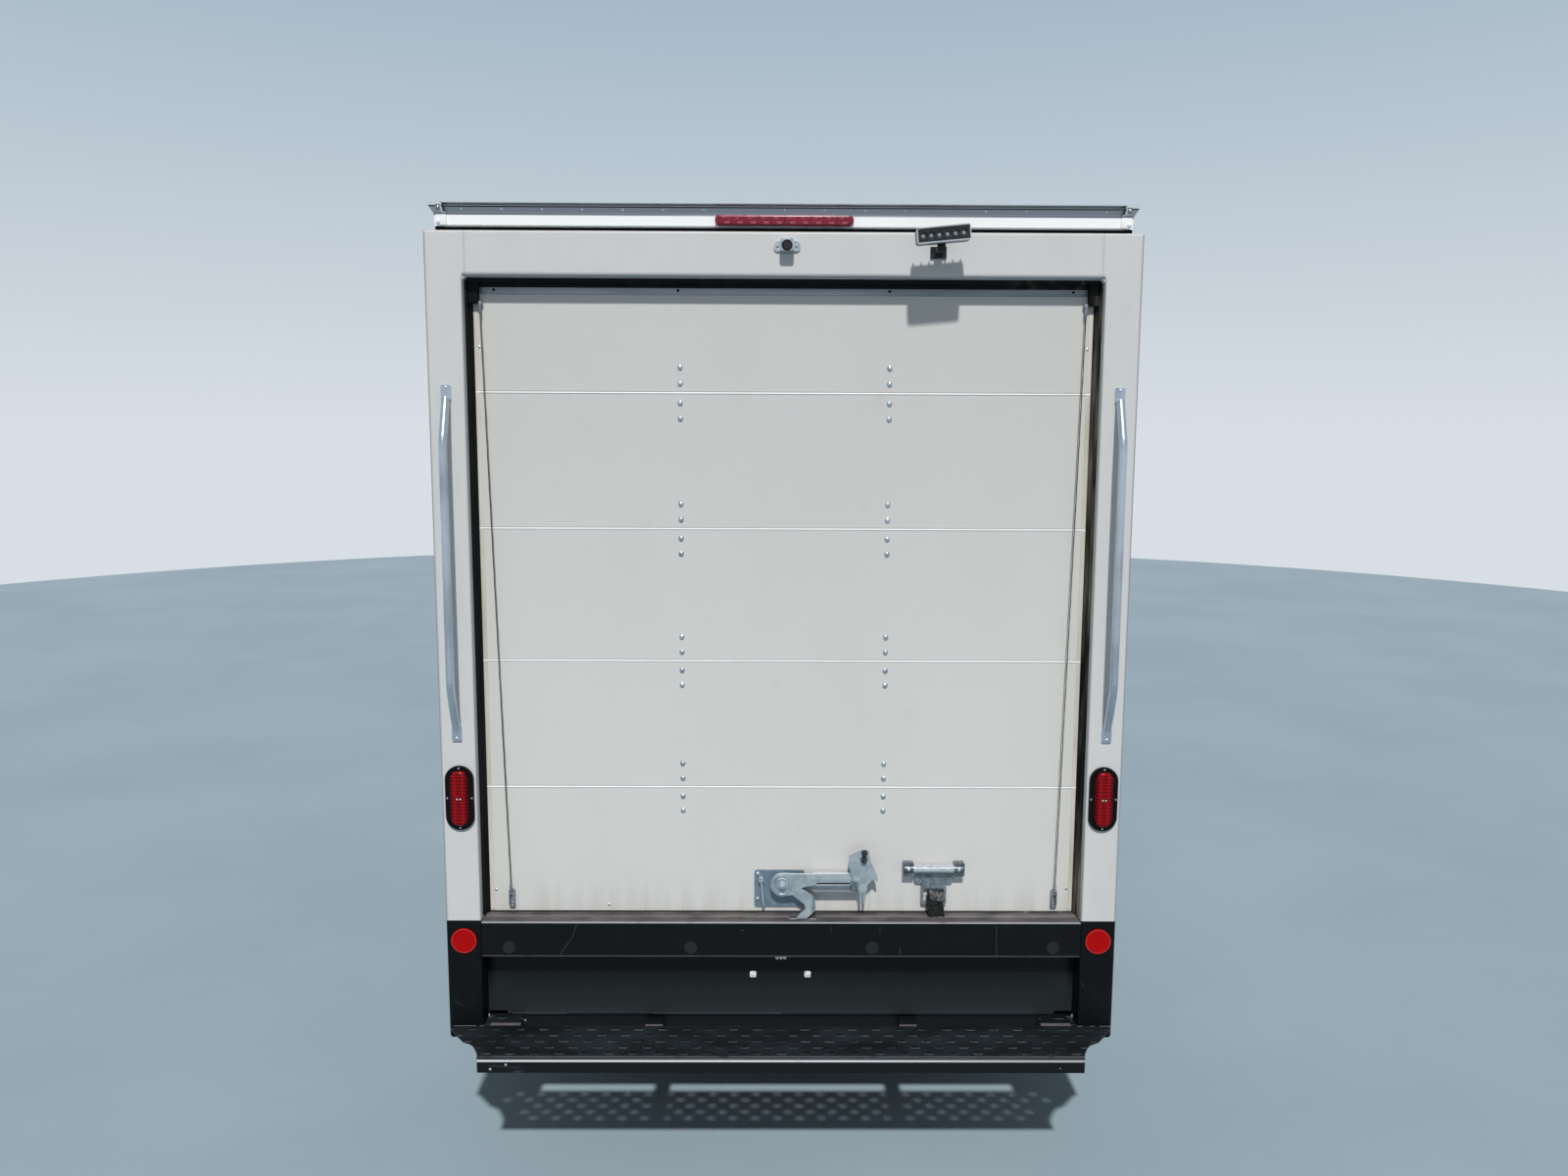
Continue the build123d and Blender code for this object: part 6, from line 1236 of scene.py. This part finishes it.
worn_strip = ribbon(worn_spine, 0.0235, worn_thick, 0.0012, 1.0)
worn_layer = put("pull_strap_fold", [worn_strip], frayed_grey, "truck", 60.0)


# Lift cables: galvanised wire rope from the opening's top corners down both jambs to a clevis on the
# bottom panel. They are taut, so they run dead straight; each ends in a pressed sleeve.
cable_finish = Finish("wire_rope")
cable_wear = cable_finish.noise(40.0, 3.0, (1, 1, 0.1)).rise(0.35, 0.7)
wire_rope = cable_finish.done(cable_finish.mix(cable_wear, (104, 100, 94), (62, 58, 54)), 0.45, Metallic=0.4)
turns = np.linspace(0, 1, 420)
rope_radius, strands, rope_sides = 0.0016, 3.0, 8
sleeve = [(0.0016, 0.0), (0.0042, 0.0012), (0.0044, 0.022), (0.0034, 0.025), (0.0017, 0.026)]
hook = [(0.007, -0.006), (0.0078, -0.001), (0.0078, 0.005), (0.006, 0.008), (0.001, 0.009)]
pin = [(0.003, 0.0), (0.003, 0.017), (0.0022, 0.018), (0.0003, 0.0182)]
for name, top_x, foot_x in (("left", -0.917, -0.8685), ("right", 0.914, 0.8795)):
    start = at(top_x, -0.042, 1.925)
    end = at(foot_x, -0.04, 0.078)
    middle = start + (end - start) * turns[:, None]
    first, second, along_line = axes_for(end - start)
    around = circle(rope_sides)
    lay = 1.0 + 0.22 * np.cos(
        strands * (np.arange(rope_sides) * math.tau / rope_sides)[None, :] + turns[:, None] * 120.0)
    spokes = (around[:, :1] * first + around[:, 1:] * second)[None] * lay[..., None] * rope_radius
    rope = skin(middle[:, None, :] + spokes)
    put("lift_cable_" + name, [rope], wire_rope, "truck")
    parts = [
        lathe(sleeve, end - along_line * 0.001, -along_line, 12),
        lathe(sleeve, start + along_line * 0.001, along_line, 12),
        lathe(hook, at(top_x, -0.052, 1.928), away, 14),
        slab(rounded(0.02, 0.062, 0.006), plate(0.005, 0.0012), at(foot_x, -0.0583, 0.05))]
    for off in (-0.0065, 0.0065):
        parts.append(
            slab(rounded(0.003, 0.046, 0.001, 2), plate(0.02, 0.0008), at(foot_x + off, -0.0583, 0.06)))
    parts.append(lathe(pin, at(foot_x - 0.0085, -0.0445, 0.072), (1, 0, 0), 12))
    parts += [lathe(small_dome, at(foot_x, -0.0533, z), away, 12) for z in (0.026, 0.038)]
    put("cable_fittings_" + name, parts, grey_strip, "truck")


# Headlamps: clear polycarbonate over two chromed reflector bowls in a dark bezel, with the amber turn
# lamp at the outer end. Fine flutes across the lens.
headlamp = Finish("headlamp_lens")
lamp_across = abs(headlamp.x)
bezel = headlamp.noise(60.0, 3.0).rise(0.3, 0.7)
lamp_tone = headlamp.mix(bezel, (54, 57, 61), (84, 88, 92))
for bowl_x, bowl_z, bowl_r in ((0.635, 0.962, 0.066), (0.775, 0.966, 0.056)):
    gap = hypot(lamp_across - bowl_x, headlamp.z - bowl_z)
    # Each reflector bowl is painted from a darker middle to a bright rim, as painted shading.
    bowl_painted_shading = headlamp.mix(gap.rise(bowl_r * 0.15, bowl_r), (150, 156, 160), (226, 230, 232))
    lamp_tone = headlamp.mix(gap.rise(bowl_r + 0.002, bowl_r), lamp_tone, bowl_painted_shading)
    lamp_tone = headlamp.coats(
        lamp_tone, (gap.near(bowl_r + 0.003, 0.0014, 0.001), (236, 238, 239)),
        (gap.rise(0.015, 0.013), (60, 64, 68)), (gap.rise(0.0115, 0.01), (244, 243, 236)))
amber = lamp_across.rise(0.86, 0.864)
facet = headlamp.cells(95.0, "Distance", "DISTANCE_TO_EDGE").rise(0.02, 0.12)
lamp_tone = headlamp.mix(amber, lamp_tone, headlamp.mix(facet, (168, 74, 14), (226, 122, 34)))
lamp_tone = headlamp.mix(lamp_across.near(0.86, 0.0022, 0.001), lamp_tone, (40, 42, 45))
flutes = headlamp.x.wave(1 / 110)
headlamp_lens = headlamp.done(
    lamp_tone, 0.1, Specular_IOR_Level=0.6, Coat_Weight=0.6, Coat_Roughness=0.03,
    Normal=headlamp.bump(flutes + amber * facet * 0.6, 0.25, 0.0012))
dress(headlamp_lens, "headlamps")

# Windscreen: laminated glass bonded on, with a black ceramic border that fades out in dots.
screen = Finish("windscreen_glass")
edge_x = screen.z * -0.1825 + 1.1255
border = (abs(screen.x) - edge_x).rise(-0.046, -0.036)
border = (
    border + screen.z.rise(1.398, 1.386)
    + (screen.x * screen.x * 0.085 + screen.z).rise(1.944, 1.954)).least(1.0)
dots = screen.cells(150.0, "Distance", stretch=(1, 0.85, 1)).rise(0.42, 0.34)
fringe = ((abs(screen.x) - edge_x).rise(-0.062, -0.046) + screen.z.rise(1.412, 1.398)).least(1.0) * dots
windscreen_glass = screen.done(
    screen.mix((border + fringe).least(1.0), (196, 208, 208), (7, 8, 9)),
    screen.noise(3.0, 4.0).rise(0.45, 0.75) * 0.05 + 0.02, IOR=1.45, Transmission_Weight=0.92,
    Specular_IOR_Level=0.6)
dress(windscreen_glass, "windscreen")


# Wipers: two black painted arms sprung from the cowl, each with a rubber blade lying on the glass.
def tube(path, radii, count=12, flat=1.0):
    """A round skin round a path: each ring is a circle of its radius square to the path, pressed flat."""
    path = np.asarray(path, float)
    along = np.gradient(path, axis=0)
    along = along / np.linalg.norm(along, axis=1, keepdims=True)
    helper = np.array([0.0, 0.0, 1.0]) if abs(along[:, 2]).max() < 0.9 else np.array([1.0, 0.0, 0.0])
    first = np.cross(np.broadcast_to(helper, along.shape), along)
    first = first / np.linalg.norm(first, axis=1, keepdims=True)
    second = np.cross(along, first)
    around = circle(count)
    spokes = around[None, :, :1] * first[:, None] + around[None, :, 1:] * second[:, None] * flat
    return skin(path[:, None] + spokes * np.asarray(radii, float)[:, None, None])


bpy.context.view_layer.update()


def on_screen(x, z, lift):
    """The windscreen's outer face at (x, z), found from in front, and lifted off it."""
    spot, normal = nodes["windscreen"].ray_cast(Vector((x, 6.0, z)), Vector((0.0, -1.0, 0.0)))[1:3]
    return np.array(spot + (normal if normal.y > 0 else -normal) * lift)


wiper_parts = []
blade_half, blade_z, pivot_z = 0.27, 1.415, 1.352
pivot_cap = [(0.015, -0.02), (0.0155, 0.0), (0.014, 0.01), (0.008, 0.014), (0.0006, 0.015)]
for pivot_x, tip_x in ((-0.6, -0.235), (0.075, 0.44)):
    blade = [
        on_screen(tip_x - 0.02 + share * blade_half, blade_z + share * 0.012, 0.012)
        for share in np.linspace(-1, 1, 15)]
    taper = np.interp(np.linspace(0, 1, len(blade)), (0, 0.06, 0.94, 1), (0.002, 0.0075, 0.0075, 0.002))
    root = on_screen(pivot_x, pivot_z, 0.02)
    middle = blade[len(blade) // 2] + (0, 0.012, 0.008)
    arm = root + (middle - root) * np.linspace(0, 1, 12)[:, None]
    arm[:, 1] += 0.016 * np.sin(np.linspace(0, math.pi, 12))
    wiper_parts += [
        tube(blade, taper), tube(arm, np.linspace(0.0095, 0.0055, 12), 12, 0.6),
        lathe(pivot_cap, root, (0, 0.5, 0.86), 20)]
put("wipers", wiper_parts, black_moulding, "truck")

# Door pulls: a bowed handle of black moulded plastic over a shallow cup, with the key's lock behind it.
# Mirror glasses: silvered, bedded in the rear of each head, the lower pane a wide-angle one.
silver = Finish("mirror_silver")
mirror_silver = silver.done(
    silver.mix(silver.noise(20.0, 3.0).rise(0.55, 0.8) * 0.3, (226, 230, 232), (188, 194, 198)), 0.04,
    Metallic=1.0)
handle_y = steer_axle_y - 1.285
mirror_y = float(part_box("mirror_right")[0].y)
face_x, pull_z, glass_x = 1.001, 1.17, 1.18
cup = rounded(0.19, 0.066, 0.02)
cup_rows = [(0, 0), (0.0005, 0.0022), (0.003, 0.0034), (0.008, 0.003), (0.012, 0.0012)]
key_lock = [(0.012, -0.002), (0.012, 0.002), (0.0105, 0.0036), (0.003, 0.0036), (0.0004, 0.003)]
wide_rows = [(0, 0), (0, 0.0012), (0.006, 0.0028), (0.02, 0.0044), (0.034, 0.005)]
reach = np.linspace(-1, 1, 25)
for side, name in both_sides:
    dish = slab(
        cup if side > 0 else cup[::-1], cup_rows, (side * face_x, handle_y, pull_z), (0, side, 0), (0, 0, 1))
    bulge = side * (face_x + 0.004 + 0.026 * (1 - reach ** 6))
    bow = np.stack([bulge, handle_y + reach * 0.086, np.full(len(reach), 1.182)], 1)
    grip = tube(bow, 0.0095 + 0.003 * reach ** 2, 14)
    lock = lathe(key_lock, (side * face_x, handle_y - 0.125, pull_z), (side, 0, 0), 20)
    put("door_pull_" + name, [dish, grip, lock], black_moulding, "door_" + name)
    pane = slab(
        rounded(0.166, 0.2, 0.018), [(0, 0), (0, 0.0015), (0.001, 0.0022)],
        (side * glass_x, mirror_y, 1.522))
    wide = slab(rounded(0.166, 0.086, 0.018), wide_rows, (side * glass_x, mirror_y, 1.366))
    put("mirror_glass_" + name, [pane, wide], mirror_silver, "door_" + name)


# Seats: moulded foam cushions and backs in woven cloth on plain boxes, with a headrest on two posts.
# The foam is blown up by simulation, then the sewn channels are drawn in.
cloth_paint = Finish("seat_cloth")
warp, weft = (across.wave(1 / 420) * 2.0 for across in (cloth_paint.x, cloth_paint.y + cloth_paint.z))
nap = cloth_paint.noise(40.0, 4.0).rise(0.35, 0.75)
seat_x = 0.4
wing = abs(abs(cloth_paint.x) - seat_x).rise(0.15, 0.156)
cloth_tone = cloth_paint.mix(nap * 0.6, (78, 80, 84), (104, 106, 110))
cloth_tone = cloth_paint.coats(cloth_tone, (warp * weft * 0.25, (134, 137, 142)), (wing * 0.7, (58, 59, 62)))
seat_cloth = cloth_paint.done(
    cloth_tone, nap * 0.06 + 0.86, Sheen_Weight=0.25, Specular_IOR_Level=0.2,
    Normal=cloth_paint.bump(warp * weft + nap * 0.4, 0.5, 0.0008))


def soft_section(corners, rounds=3):
    """A closed outline with its corners cut a quarter in from both sides, a few times over."""
    line = np.asarray(corners, float)
    for _ in range(rounds):
        ahead_line = np.roll(line, -1, 0)
        line = np.stack([line * 0.75 + ahead_line * 0.25, line * 0.25 + ahead_line * 0.75], 1).reshape(-1, 2)
    return line


def upholster(soft):
    """What every pad gets: a smoother skin, and the truck as its body."""
    smooth = soft.modifiers.new("smooth", "SUBSURF")
    smooth.levels = smooth.render_levels = 1
    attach(soft, "truck")


def foam(name, corners, half, middle_x, seams_at, cap):
    """A pad: its section (y, z) drawn toward its middle at both ends by a quarter round, blown up by the
    cloth solver with every point held within cap, then each seam (axis, place) cut in as a groove with
    depth groove_depth * exp(-(distance / groove_width)^2)."""
    groove_depth, groove_width, frames = 0.007, 0.0075, 20
    outline = soft_section(corners)
    centre = outline.mean(0)
    across = np.concatenate([[-1, -0.985, -0.95, -0.9], np.linspace(-0.8, 0.8, 17), [0.9, 0.95, 0.985, 1]])
    shrink = 1 - 0.3 * (1 - np.sqrt(np.clip(1 - np.clip((abs(across) - 0.8) / 0.2, 0, 1) ** 2, 0, 1)))
    rings = centre + (outline[None] - centre) * (shrink[:, None, None] * 0.985)
    rings = np.concatenate(
        [np.broadcast_to((across * (half - 0.01))[:, None, None], rings[..., :1].shape), rings], -1)
    points, faces = skin(rings)
    mesh = bpy.data.meshes.new(name)
    mesh.from_pydata(points.tolist(), [], [list(face) for group in faces for face in group.tolist()])
    soft = bpy.data.objects.new(name, mesh)
    scene.collection.objects.link(soft)
    outward(mesh, 180.0)
    shell = soft.modifiers.new("shell", "REMESH")
    shell.mode = "VOXEL"
    shell.voxel_size = 0.01
    even = bpy.data.meshes.new_from_object(soft.evaluated_get(bpy.context.evaluated_depsgraph_get()))
    soft.modifiers.clear()
    soft.data = even
    count = len(even.vertices)
    before = np.empty(count * 3, np.float32)
    even.vertices.foreach_get("co", before)
    before = before.reshape(-1, 3)
    after = before.copy()
    blown = soft.modifiers.new("blown", "CLOTH")
    blown.settings.use_pressure = True
    blown.settings.uniform_pressure_force = 4.0
    blown.settings.effector_weights.gravity = 0.0
    blown.point_cache.frame_start = 1
    blown.point_cache.frame_end = frames
    for tick in range(1, frames + 1):
        scene.frame_set(tick)
    grown = soft.evaluated_get(bpy.context.evaluated_depsgraph_get()).to_mesh()
    flat = np.empty(count * 3, np.float32)
    grown.vertices.foreach_get("co", flat)
    move = flat.reshape(-1, 3) - before
    far = np.linalg.norm(move, axis=1, keepdims=True)
    after = before + move * np.minimum(1.0, cap / np.maximum(far, 1e-9))
    soft.modifiers.clear()
    scene.frame_set(1)
    inner = np.stack([after[:, 1] - centre[0], after[:, 2] - centre[1]], 1)
    inner = inner / np.maximum(np.linalg.norm(inner, axis=1, keepdims=True), 1e-9)
    groove = np.zeros(len(after))
    for axis, spot in seams_at:
        groove = np.maximum(groove, np.exp(-((after[:, axis] - spot) / groove_width) ** 2))
    after[:, 1:] -= inner * (groove * groove_depth)[:, None]
    after[:, 0] += middle_x
    even.vertices.foreach_set("co", after.astype(np.float32).ravel())
    outward(even, 180.0)
    even.materials.clear()
    even.materials.append(seat_cloth)
    upholster(soft)
    return soft


def copied(first, name, shift_x):
    """The same pad for the other seat."""
    mesh = first.data.copy()
    spots = np.empty(len(mesh.vertices) * 3, np.float32)
    mesh.vertices.foreach_get("co", spots)
    spots.reshape(-1, 3)[:, 0] += shift_x
    mesh.vertices.foreach_set("co", spots)
    mesh.update()
    twin = bpy.data.objects.new(name, mesh)
    scene.collection.objects.link(twin)
    upholster(twin)


seat_y = steer_axle_y - 1.47
seat_top = 0.9
cushion = [
    (seat_y + 0.1, seat_top + 0.004), (seat_y + 0.1, seat_top + 0.116),
    (seat_y + 0.35, seat_top + 0.122), (seat_y + 0.585, seat_top + 0.146),
    (seat_y + 0.604, seat_top + 0.08), (seat_y + 0.59, seat_top + 0.004)]
back = [
    (seat_y + 0.066, seat_top + 0.14), (seat_y + 0.004, seat_top + 0.69),
    (seat_y + 0.085, seat_top + 0.7), (seat_y + 0.15, seat_top + 0.4),
    (seat_y + 0.185, seat_top + 0.15)]
headrest = [
    (seat_y + 0.006, seat_top + 0.735), (seat_y + 0.002, seat_top + 0.893),
    (seat_y + 0.065, seat_top + 0.893), (seat_y + 0.074, seat_top + 0.745)]
for kind, corners, half, seams_at, cap in (
        ("cushion", cushion, 0.25, ((0, -0.155), (0, 0.155), (1, seat_y + 0.36)), 0.022),
        ("back", back, 0.245, ((0, -0.15), (0, 0.15), (2, seat_top + 0.34)), 0.022),
        ("headrest", headrest, 0.13, ((2, seat_top + 0.815),), 0.012)):
    made = foam("seat_" + kind + "_right", corners, half, seat_x, seams_at, cap)
    copied(made, "seat_" + kind + "_left", -2 * seat_x)
parts = []
post = [(0.007, 0.0), (0.007, 0.07), (0.006, 0.074)]
for x in (-seat_x, seat_x):
    parts.append(
        slab(
            rounded(0.38, 0.39, 0.02), [(0, 0), (0.01, 0.015), (0.004, 0.15), (0.0, 0.205)],
            (x, seat_y + 0.375, 0.691), (1, 0, 0), (0, 1, 0)))
    parts += [
        lathe(post, (post_x, seat_y + 0.04, seat_top + 0.68), (0, 0, 1), 14)
        for post_x in (x - 0.06, x + 0.06)]
seat_frames = put("seat_frames", parts, cabin_plastic, "truck")
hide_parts("seats")
